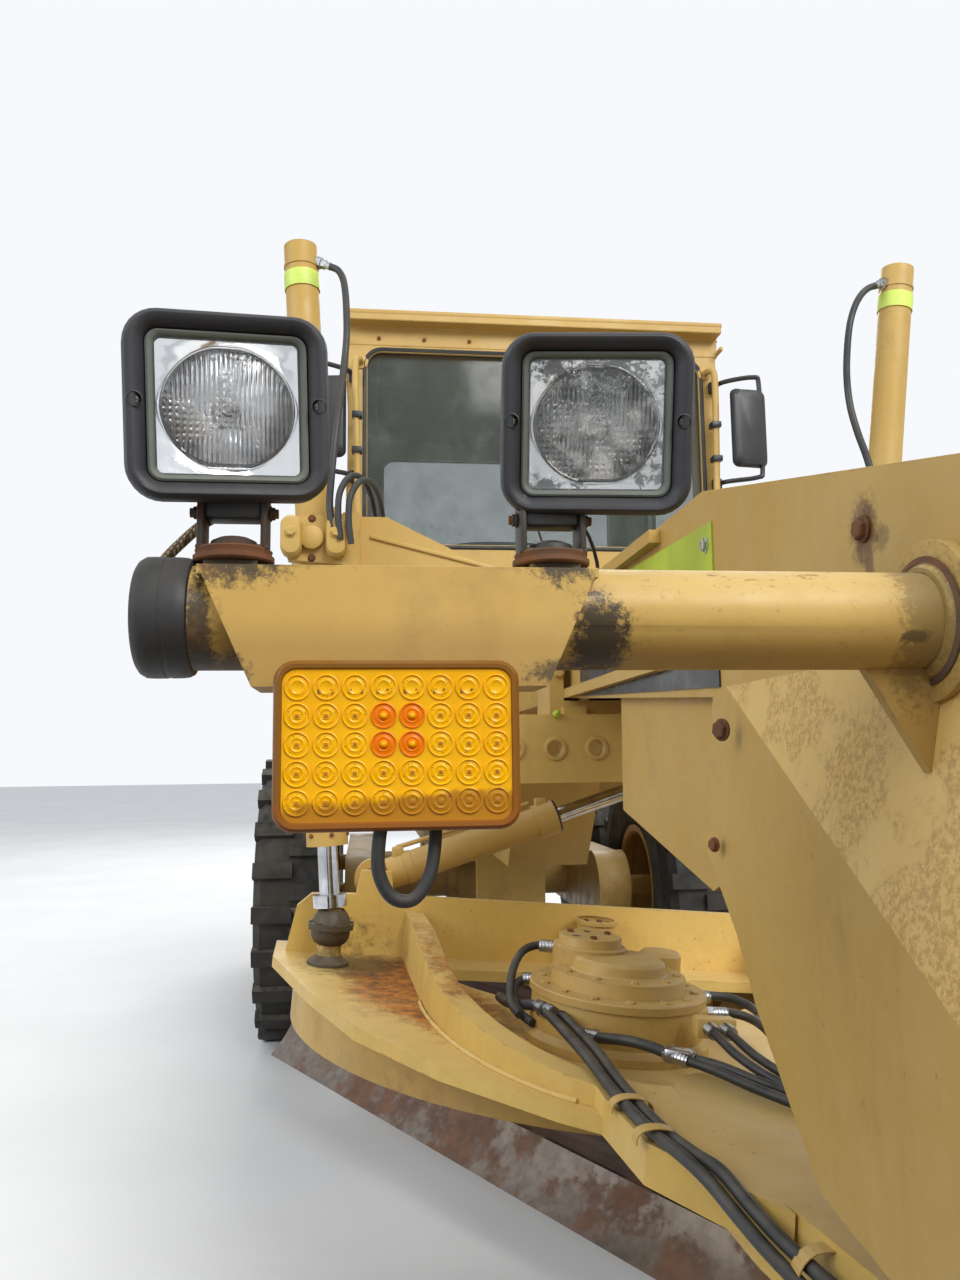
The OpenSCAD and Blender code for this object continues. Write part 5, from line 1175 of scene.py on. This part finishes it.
# joints of the lift cylinders: sockets around the balls, greasy
p = Piece("lift_ball_sockets")
for s in (-1, 1):
    b = db(s * BALL_X, BALL_Y, BALL_Z)
    ax = (DB.to_3x3() @ Vector(UP)).normalized()
    p.lathe(b, ax, mm(-46, 30.5, -40, 40, -26, 47.8, -8, 49, -7, 56, 7, 56, 8, 48.2, 22, 44, 34, 36, 40, 30),
            "grease", 36, cap=OPEN)
    u = ax.orthogonal().normalized()
    v = ax.cross(u)
    for a in turns(8, radians(12)):
        for e in (1, -1):
            p.bolt(b + (u * cos(a) + v * sin(a)) * 0.0515 + ax * 0.007 * e, ax * e, 0.009, "grease",
                washer=False)
    p.lathe(db(s * BALL_X, BALL_Y, -0.019), ax, mm(0, 52, 6, 51, 14, 40, 22, 30.5), "grease", 32, cap=OPEN)
p.done("drawbar", "yellow_paint")

# clips that hold the hoses, blocks at their front ends, and weld beads
p = Piece("drawbar_details", DB)
for s in (-1, 1):
    for y in (0.948, 0.83, 0.56, 0.33):
        over = y > 0.7      # over the arm's foot, else beside the tongue
        half = 0.085 + (min(y, 0.7) - 0.17) * 0.1226
        drop = 0.02 if s < 0 else 0.036
        ring = []
        for k in range(15):
            a = pi * k / 14
            if over:
                mid = 0.246 if s < 0 else 0.165 + (0.948 - y) * 0.5
                ring.append(vec(s * (mid - 0.033 * cos(a)), y, 0.008 + 0.0235 * sin(a) ** 0.6))
            else:
                ring.append(vec(s * (half - 0.004 + 0.048 * sin(a) ** 0.7), y,
                    -0.015 - drop + (0.018 + drop) * cos(a)))
        for a, b in zip(ring, ring[1:]):
            e = vec(0, 0.011, 0)
            q = (b - a).normalized().cross(vec(0, 1, 0)) * (0.0016 * (-s if over else 1))
            p._add([a - e, b - e, b + e, a + e, a - e + q, b - e + q, b + e + q, a + e + q],
                [(0, 1, 2, 3), (7, 6, 5, 4), (0, 4, 5, 1), (3, 2, 6, 7), (0, 3, 7, 4), (1, 5, 6, 2)], "paint",
                False)
    # block that takes the hoses' front ends
    p.post(s * 0.112, 0.034, 0.222, 0.25, -0.098 if s > 0 else -0.06, -0.01, "low", 0.004)
    if s > 0:
        p.box((0.062, 0.222, 0.006), (0.108, 0.25, 0.034), "low", 0.004)
    # weld along the arm's foot
    bead = [vec(s * (0.15 + 0.348 * cos(radians(a)) + 0.002), 1.64 - 0.64 * sin(radians(a)), -0.0185)
            for a in range(0, 66, 5)]
    p.tube(bead, 0.006, "drawbar", 6)
p.done("drawbar", "yellow_paint")


def fitting(p, at, way, d):
    """Crimped hose end with its nut."""
    at, v, m = Vector(at), Vector(way).normalized(), "fitting"
    p.lathe(at - v * 0.018, v, [(0, d * 0.62), (0.014, d * 0.62)], m, 6, smooth=False)
    p.lathe(at - v * 0.006, v, [(0, d * 0.5), (0.006, d * 0.55), (0.03, d * 0.55), (0.036, d * 0.5)], m, 18)
    for k in range(4):
        p.lathe(at + v * (0.004 + 0.007 * k), v, [(0, d * 0.56), (0.0012, d * 0.59), (0.0024, d * 0.56)], m,
            18, cap=OPEN)


ROUTES = {      # diameter, then the points, in mm on the drawbar
    "motor_hose_a": (17, -225, 1560, 128, -262, 1572, 128, -296, 1560, 118, -320, 1530, 94, -334, 1492, 62,
        -338, 1450, 36, -330, 1400, 26),
    "motor_hose_b": (17, -268, 1508, 70, -300, 1512, 70, -322, 1498, 58, -330, 1468, 40, -322, 1430, 22,
        -306, 1390, 14),
    "arm_hose": (21, -330, 1620, 6, -326, 1560, 10, -318, 1500, 22, -306, 1440, 36, -294, 1385, 48),
    "pair_outer": (18, -291, 1345, 48, -288, 1270, 48, -283, 1190, 46, -277, 1120, 42, -270, 1065, 34,
        -262, 1010, 24, -257, 948, 20.5, -253, 880, 19.5, -247, 820, 19.5, -234, 765, 18, -217, 715, 8,
        -200, 665, -10, -186, 610, -24, -170, 540, -34, -152, 460, -40, -138, 360, -44, -126, 250, -46),
    "pair_inner": (18, -266, 1345, 50, -263, 1270, 50, -258, 1190, 48, -253, 1120, 44, -248, 1065, 36,
        -241, 1010, 26, -236, 948, 20.5, -232, 880, 19.5, -226, 820, 19.5, -214, 765, 19.5, -200, 715, 19.5,
        -186, 665, 4, -171, 610, -10, -155, 540, -18, -139, 460, -20, -126, 360, -22, -113, 250, -24),
    "front_hose": (19, -226, 1258, 28, -205, 1226, 36, -176, 1194, 42, -146, 1166, 42, -120, 1140, 38,
        -102, 1122, 34),
    "over_a": (16, -96, 1112, 36, -64, 1072, 34, -26, 1020, 28, 22, 950, 24, 74, 880, 20, 122, 820, 19,
        160, 765, 19, 186, 715, 18.5, 194, 665, 4, 186, 610, -10, 168, 540, -18, 146, 460, -20, 128, 360, -22,
        113, 250, -24),
    "over_b": (16, -80, 1124, 36, -46, 1088, 36, -4, 1040, 30, 44, 980, 26, 94, 918, 20, 138, 862, 20,
        180, 815, 19, 208, 765, 19, 219, 715, 6, 214, 665, -12, 200, 610, -26, 180, 540, -34, 158, 460, -40,
        138, 360, -44, 126, 250, -46),
    "swivel_a": (16, -14, 1210, 60, -16, 1160, 58, -8, 1110, 48, 16, 1050, 36, 58, 985, 26, 100, 925, 19,
        130, 860, 18.5, 136, 790, 18.5, 128, 700, 18.5, 114, 590, 18.5, 100, 470, 18.5, 86, 350, 18.5,
        76, 250, 18.5),
    "swivel_b": (16, 18, 1212, 60, 16, 1160, 58, 26, 1110, 48, 52, 1055, 36, 90, 1000, 26, 126, 945, 20,
        154, 890, 18.5, 158, 810, 18.5, 142, 720, 18.5, 128, 620, 18.5, 119, 500, 18.5, 104, 370, 18.5,
        94, 250, 18.5),
    "side_a": (18, 44, 1494, 50, 92, 1502, 54, 138, 1492, 54, 162, 1460, 50, 166, 1415, 48, 158, 1370, 46),
    "side_b": (18, 60, 1394, 45, 92, 1392, 48, 118, 1376, 48, 132, 1346, 46, 132, 1300, 44, 124, 1240, 42,
        126, 1180, 40, 144, 1110, 36, 168, 1040, 28, 188, 980, 21.5, 206, 920, 19.5, 228, 860, 19,
        250, 805, 12, 262, 750, -10, 256, 690, -34, 234, 630, -50, 204, 560, -56, 172, 470, -60,
        148, 360, -64, 134, 250, -66),
    "side_c": (18, 155, 1335, 46, 150, 1270, 44, 149, 1200, 42, 166, 1130, 38, 190, 1064, 30, 210, 1010, 21.5,
        228, 950, 19.5, 248, 890, 19, 270, 835, 10, 282, 780, -12, 280, 720, -40, 260, 650, -62,
        228, 570, -74, 188, 470, -80, 158, 360, -84, 142, 250, -86),
}
for name, (d, *pts) in ROUTES.items():
    hose(name, [DB @ Vector(q) for q in mm(*pts, n=3)], d / 1000, "drawbar")
p = Piece("hose_fittings", DB)
ends = ((-0.232, 1.561, 0.128, -1, 0.3, 0), (-0.276, 1.51, 0.07, -1, 0.1, 0),
    (-0.294, 1.38, 0.048, 0.05, -1, 0.1), (-0.282, 1.352, 0.05, 0.0, -1, 0),
    (-0.112, 1.132, 0.036, 0.6, -0.8, 0), (-0.096, 1.142, 0.036, 0.6, -0.8, 0),
    (-0.014, 1.222, 0.06, 0, -1, 0), (0.018, 1.224, 0.06, 0, -1, 0), (0.07, 1.503, 0.051, 1, 0, 0),
    (0.066, 1.394, 0.045, 1, 0, 0), (0.157, 1.352, 0.046, -0.05, -1, 0),
    (-0.232, 1.268, 0.03, 0.6, -0.8, 0.1))
for x, y, z, a, b, c in ends:
    fitting(p, (x, y, z), (a, b, c), 0.023 if z > 0.04 else 0.021)
p.box((-0.304, 1.352, 0.034), (-0.254, 1.39, 0.062), "fitting", 0.006)
p.box((-0.128, 1.118, 0.024), (-0.078, 1.15, 0.05), "fitting", 0.006, turn=turned_by(-25, "Z"))
p.box((-0.036, 1.222, 0.042), (0.04, 1.252, 0.078), "low", 0.004)
p.done("drawbar", "bare_steel")

# centre shift: clamp bands, port blocks and the pipe between them
A0 = db(-0.59, 2.18, 0.165)
A0.y = AY + 2.77
A1 = vec(0.11, AY + 2.77, 1.4)
SW = (A1 - A0).normalized()
p = Piece("shift_cylinder_fittings")
for u in (0.1, 0.485):
    p.lathe(A0 + SW * u, SW, mm(-12, 42.4, -11, 44.6, 11, 44.6, 12, 42.4), "low", 30, cap=OPEN)
rise = SW.cross(vec(0, 1, 0)).normalized()
rise = rise if rise.z > 0 else -rise
for u in (0.08, 0.5):
    q = A0 + SW * u + rise * 0.044
    p.box(q - vec(0.016, 0.016, 0.012), q + vec(0.016, 0.016, 0.018), "low", 0.005)
p.tube([A0 + SW * 0.08 + rise * 0.06 + vec(0, 0.01, 0), A0 + SW * 0.2 + rise * 0.056 + vec(0, 0.01, 0),
    A0 + SW * 0.47 + rise * 0.056 + vec(0, 0.01, 0)], 0.0065, "low", 10)
p.lathe(A0 + SW * 0.5305, SW, mm(0, 47.5, 6, 45.5, 8, 25), "darkmetal", 30, cap=OPEN)
p.done("shift_barrel", "yellow_paint")


# Inside the cab: seat, levers and dials
def cloth(col):
    """Woven seat cloth: threads, pile and folds."""
    m = Mat("seat_cloth", rough=0.95, Sheen_Weight=0.35, Sheen_Roughness=0.5)
    a = m.wave(420, direction="X", distortion=0.6)
    b = m.wave(420, direction="Z", distortion=0.6)
    weave = m.mul(m.add(a, b), 0.5)
    c = m.blend((5, 6, 0.6), 0.3, 0.7, col, shade(col, 0.72))
    c = m.mix(m.step(weave, 0.2, 0.8, 0.0, 0.35), c, shade(col, 1.5))
    c = m.spots(c, (2.4, 6, 0.7), 0.52, 0.75, 0.6, 120, 108, 88)
    m.color(c)
    m.bump((weave, 0.25, 0.0008), (m.noise(60, 5, 0.7), 0.2, 0.002), (m.noise(9, 3), 0.35, 0.012))
    return m.m


M["cloth"] = cloth(srgb(58, 60, 64))
S_LO, S_HI = map(Vector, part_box("seat"))
s_mid = (S_LO + S_HI) / 2
s_w = S_HI.x - S_LO.x
SEAT_TOP = S_LO.z + (S_HI.z - S_LO.z) * 0.4


def cushion(name, lo, hi, crown, axis, seams=3):
    """A stuffed block: crowned face, pulled-in seams, soft edges."""
    lo, hi = Vector(lo), Vector(hi)
    nu, nv = 28, 28
    c, h = (lo + hi) / 2, (hi - lo) / 2
    grid = bmesh.new()
    bmesh.ops.create_grid(grid, x_segments=nu, y_segments=nv, size=1)
    top = [(v.co.x, v.co.y) for v in grid.verts]
    faces = [[v.index for v in f.verts] for f in grid.faces]
    grid.free()

    def shape(u, v):
        e = (1 - abs(u) ** 5) * (1 - abs(v) ** 5)
        ridge = 1.0
        for k in range(seams):
            q = -0.5 + k / max(seams - 1, 1)
            ridge -= 0.3 * exp(-((u - q) / 0.045) ** 2)
        fold = 0.05 * sin(7 * v + 3 * u) * (1 - abs(u))
        return (0.45 + 0.55 * ridge + fold) * max(e, 0.0) ** 0.5
    verts = []
    for side in (1, -1):
        for u, v in top:
            k = 1 - 0.05 * (abs(u * v)) ** 3
            w = shape(u, v) if side > 0 else 0.35 * shape(u, v)
            if axis == 2:
                verts.append((c.x + h.x * u * k, c.y + h.y * v * k, c.z + side * (h.z - crown + crown * w)))
            else:
                verts.append((c.x + h.x * u * k, c.y - side * (h.y - crown + crown * w), c.z + h.z * v * k))
    n = len(top)
    p = Piece(name)
    fs = faces + [[i + n for i in reversed(f)] for f in faces]
    idx = {}
    for i, (u, v) in enumerate(top):
        idx[(round((u + 1) * nu / 2), round((v + 1) * nv / 2))] = i
    ring = [idx[(i, 0)] for i in range(nu)] + [idx[(nu, j)] for j in range(nv)] \
        + [idx[(i, nv)] for i in range(nu, 0, -1)] + [idx[(0, j)] for j in range(nv, 0, -1)]
    for a, b in zip(ring, ring[1:] + ring[:1]):
        fs.append([a, b, b + n, a + n])
    p._add(verts, fs, "cloth")
    return p, [Vector(verts[i]).lerp(Vector(verts[i + n]), 0.25) for i in ring]


def seat():
    w2 = s_w / 2 - 0.012
    y0, y1 = S_LO.y + 0.01, S_HI.y - 0.02
    base_hi = SEAT_TOP
    p, rim = cushion("seat_cushion", (s_mid.x - w2, y0, base_hi - 0.13),
        (s_mid.x + w2, y1 - 0.06, base_hi + 0.005), 0.035, 2)
    o = p.done("front", "seat_fabric", smooth=0, subdiv=1)
    q, rim2 = cushion("seat_back", (s_mid.x - w2, y1 - 0.13, base_hi - 0.02),
        (s_mid.x + w2, y1, S_HI.z - 0.012), 0.04, 1)
    o2 = q.done("front", "seat_fabric", smooth=0, subdiv=1)
    r = Piece("seat_frame")
    for loop in (rim, rim2):
        r.tube(loop + loop[:1], 0.005, "piping", 6, cap=False)
    r.post(s_mid.x, w2 - 0.03, y0 + 0.04, y1 - 0.05, S_LO.z + 0.004, S_LO.z + 0.05, "darkmetal", 0.008)
    for k in range(7):      # bellows
        z = S_LO.z + 0.055 + k * (base_hi - 0.13 - S_LO.z - 0.06) / 7
        t = 0.02 if k % 2 else 0.0
        r.post(s_mid.x, w2 - 0.05 - t, y0 + 0.06 + t, y1 - 0.07 - t, z, z + 0.018, "rubber", 0.006)
    for e in (-1, 1):       # armrests
        x = s_mid.x + e * (w2 - 0.004)
        r.post(s_mid.x + e * (w2 - 0.002), 0.012, y0 + 0.12, y1 - 0.1, base_hi + 0.15, base_hi + 0.19, "dark",
            0.01)
        r.tube([(x, y1 - 0.1, base_hi - 0.06), (x, y1 - 0.14, base_hi + 0.16)], 0.009, "darkmetal", 8)
    r.done("front", "dark_painted_metal")
    return o, o2


cushions = seat()
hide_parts("seat")

p = Piece("cab_controls")
C_LO, C_HI = map(Vector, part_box("console"))
wheel_x = (C_LO.x + C_HI.x) / 2
for k in range(8):      # levers in two rows beside the wheel
    e = -1 if k < 4 else 1
    x = wheel_x + e * (0.105 + 0.034 * (k % 4))
    z0 = min(C_HI.z - 0.3, 2.12)
    y = C_LO.y + 0.1
    p.tube([(x, y, z0), (x, y + 0.02, z0 + 0.08), (x, y + 0.05, z0 + 0.15)], 0.0045, "darkmetal", 8)
    p.lathe((x, y + 0.052, z0 + 0.15), (0, 0.25, 1), mm(0, 8, 8, 14, 22, 15, 34, 10, 38, 3), "plastic", 14)
for k, (dx, r) in enumerate(((-0.07, 0.034), (0.0, 0.04), (0.07, 0.034))):
    c = vec(wheel_x + dx, C_LO.y + 0.03, min(C_HI.z - 0.12, 2.26))
    p.lathe(c, (0, 0.7, 0.7), [(-0.01, r), (0.004, r), (0.006, r * 0.92), (0.002, r * 0.86)], "darkmetal", 26,
        cap=FIRST)
    p.lathe(c, (0, 0.7, 0.7), [(0.0015, r * 0.87), (0.0016, 0.002)], "bare", 26, cap=LAST)
p.done("front", "black_plastic")

# the engine hood: lids over the louvres, door gaps, latches and bolts; slats of the grille
H_LO, H_HI = map(Vector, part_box("hood"))
p = Piece("hood_trim")
hw = 0.53      # half the hood's width
for s in (-1, 1):
    near, far = (hw - 0.004, hw + 0.011) if s > 0 else (-hw - 0.011, -hw + 0.004)
    for y0 in (2.32, 3.12):
        # a lid over each louvre
        for k in range(7):
            p.box((near, y0 - 0.012, 1.59 + 0.07 * k), (far, y0 + 0.572, 1.602 + 0.07 * k), "cab", 0.005)
    # door gaps with their latches
    for y, top in ((2.215, 2.27), (2.99, 2.27), (3.78, 2.2)):
        p.post(s * hw, 0.003, y, y + 0.008, 1.36, top, "plastic", 0.001)
        for z in (1.5, 2.12):
            p.post(s * (hw + 0.004), 0.006, y - 0.05, y - 0.02, z - 0.028, z + 0.028, "darkmetal", 0.004)
    for k in range(12):
        y = H_LO.y + 0.1 + k * (H_HI.y - H_LO.y - 0.2) / 11
        p.bolt((s * (hw + 0.0005), y, 1.335), (s, 0, 0), 0.016, "rusty")
# slats over the bars between the grille's openings
for k in range(9):
    z = 1.457 + 0.062 * k
    p.box((-0.455, H_HI.y - 0.004, z), (0.455, H_HI.y + 0.006, z + 0.022), "cab", 0.004)
p.done("rear", "yellow_paint")

# rear lamps with red and amber lenses
p = Piece("rear_lamp_lenses")
R_LO, R_HI = map(Vector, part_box("rear_lamps"))
for s in (-1, 1):
    xm = s * (R_HI.x - 0.085)
    zm = (R_LO.z + R_HI.z) / 2
    hz = (R_HI.z - R_LO.z) / 2
    for z, m in ((zm + hz * 0.45, "red"), (zm - hz * 0.45, "amber")):
        rings = ((0.12, 0.78, 0.012, -0.002), (0.12, 0.78, 0.012, 0.006), (0.108, 0.64, 0.01, 0.009))
        p.loft([rr(w, hz * tall, r, R_HI.y + y, 4, xm, z) for w, tall, r, y in rings], m, cap=LAST)
p.done("rear", "amber_lens")

# wheels: nuts and valves
NUTS_IN = 0.087     # from the rim's outer edge to the disc
NUTS_R = 0.167      # radius of the circle of nuts
for end in ("front", "middle", "rear"):
    for s, side in SIDES:
        lo, hi = map(Vector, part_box("rim_%s_%s" % (end, side)))
        c = (lo + hi) / 2
        xo = hi.x if s > 0 else lo.x
        p = Piece("wheel_nuts_%s_%s" % (end, side))
        disc = xo - s * NUTS_IN
        for a in turns(10):
            q = vec(disc, c.y + cos(a) * NUTS_R, c.z + sin(a) * NUTS_R)
            p.bolt(q, (s, 0, 0), 0.034, "bare" if end == "front" else "rusty")
            p.lathe(q + vec(s * 0.012, 0, 0), (s, 0, 0), mm(0, 8.5, 14, 8.5, 16, 6), "rusty", 10)
        p.tube([(xo - s * 0.05, c.y + 0.255, c.z), (xo - s * 0.03, c.y + 0.25, c.z),
            (xo - s * 0.012, c.y + 0.24, c.z + 0.01)], 0.0055, "bare", 8)
        p.done("wheel_%s_%s" % (end, side), "bare_steel")

# soft edges on the carried-over nodes
for width, names in ((0.005, "front_frame hood rear_frame cab_roof drawbar"),
        (0.0025, "light_bars saddle circle_drive cab_frame front_axle knuckle_left knuckle_right"),
        (0.0025, "rear_axle tilt_brackets engine exhaust console")):
    for n in names.split():
        soften(N[n], width)


# Floor, light
def seen_by(tree):
    """1 for rays that show the background: to the camera, off metal and through glass."""
    path = tree.nodes.new("ShaderNodeLightPath").outputs
    last = path["Is Camera Ray"]
    for kind in ("Is Glossy Ray", "Is Transmission Ray"):
        last = node(tree, "Math", {0: last, 1: path[kind]}, operation="MAXIMUM")
    return last


def stage():
    me = bpy.data.meshes.new("floor")
    me.from_pydata([(-40, -40, 0), (40, -40, 0), (40, 60, 0), (-40, 60, 0)], [], [(0, 1, 2, 3)])
    o = bpy.data.objects.new("floor", me)
    SC.collection.objects.link(o)
    m = Mat("pale_floor", color=(0.78, 0.78, 0.77, 1), rough=0.85)
    pale = m.blend((0.8, 4), 0.3, 0.7, (0.79, 0.79, 0.78, 1), (0.74, 0.74, 0.73, 1))
    m.color(m.mix(seen_by(m.t), (0.3, 0.28, 0.26, 1), pale))     # throws back less light than it shows
    me.materials.append(m.m)
    w = bpy.data.worlds.new("sky")
    SC.world = w
    w.use_nodes = True
    nt = w.node_tree
    nt.nodes.clear()
    z = node(nt, "SeparateXYZ", {0: node(nt, "TexCoord", out="Generated")}, "Z")
    ramp = nt.nodes.new("ShaderNodeValToRGB")
    grey_and_blue = ((0.42, (0.42, 0.42, 0.42, 1)), (0.75, (0.9, 0.94, 1.0, 1)))
    for e, (place, col) in zip(ramp.color_ramp.elements, grey_and_blue):
        e.position, e.color = place, col
    put(nt, ramp.inputs[0], node(nt, "MapRange", {"Value": z, "From Min": -1, "From Max": 1}))
    soft = node(nt, "Background", {"Color": ramp.outputs[0], "Strength": 0.8})
    plain = node(nt, "Background", {"Color": (0.93, 0.95, 0.98, 1), "Strength": 1.0})
    sky = node(nt, "MixShader", {0: seen_by(nt), 1: soft, 2: plain})
    put(nt, nt.nodes.new("ShaderNodeOutputWorld").inputs[0], sky)

    def lamp(name, loc, target, size, power, col=(1, 1, 1)):
        d = bpy.data.lights.new(name, "AREA")
        d.shape, d.size, d.size_y = "RECTANGLE", size[0], size[1]
        d.energy, d.color = power, col
        l = bpy.data.objects.new(name, d)
        SC.collection.objects.link(l)
        l.location = loc
        l.rotation_euler = (Vector(target) - Vector(loc)).to_track_quat("-Z", "Y").to_euler()

    lamp("key", (5, -12, 11), UP, (9, 6), 1800, (1.0, 0.98, 0.95))
    lamp("fill", (-11, -6, 7), UP, (8, 6), 600, (0.95, 0.97, 1.0))
    lamp("back", (2, 13, 10), UP, (9, 6), 900)


stage()
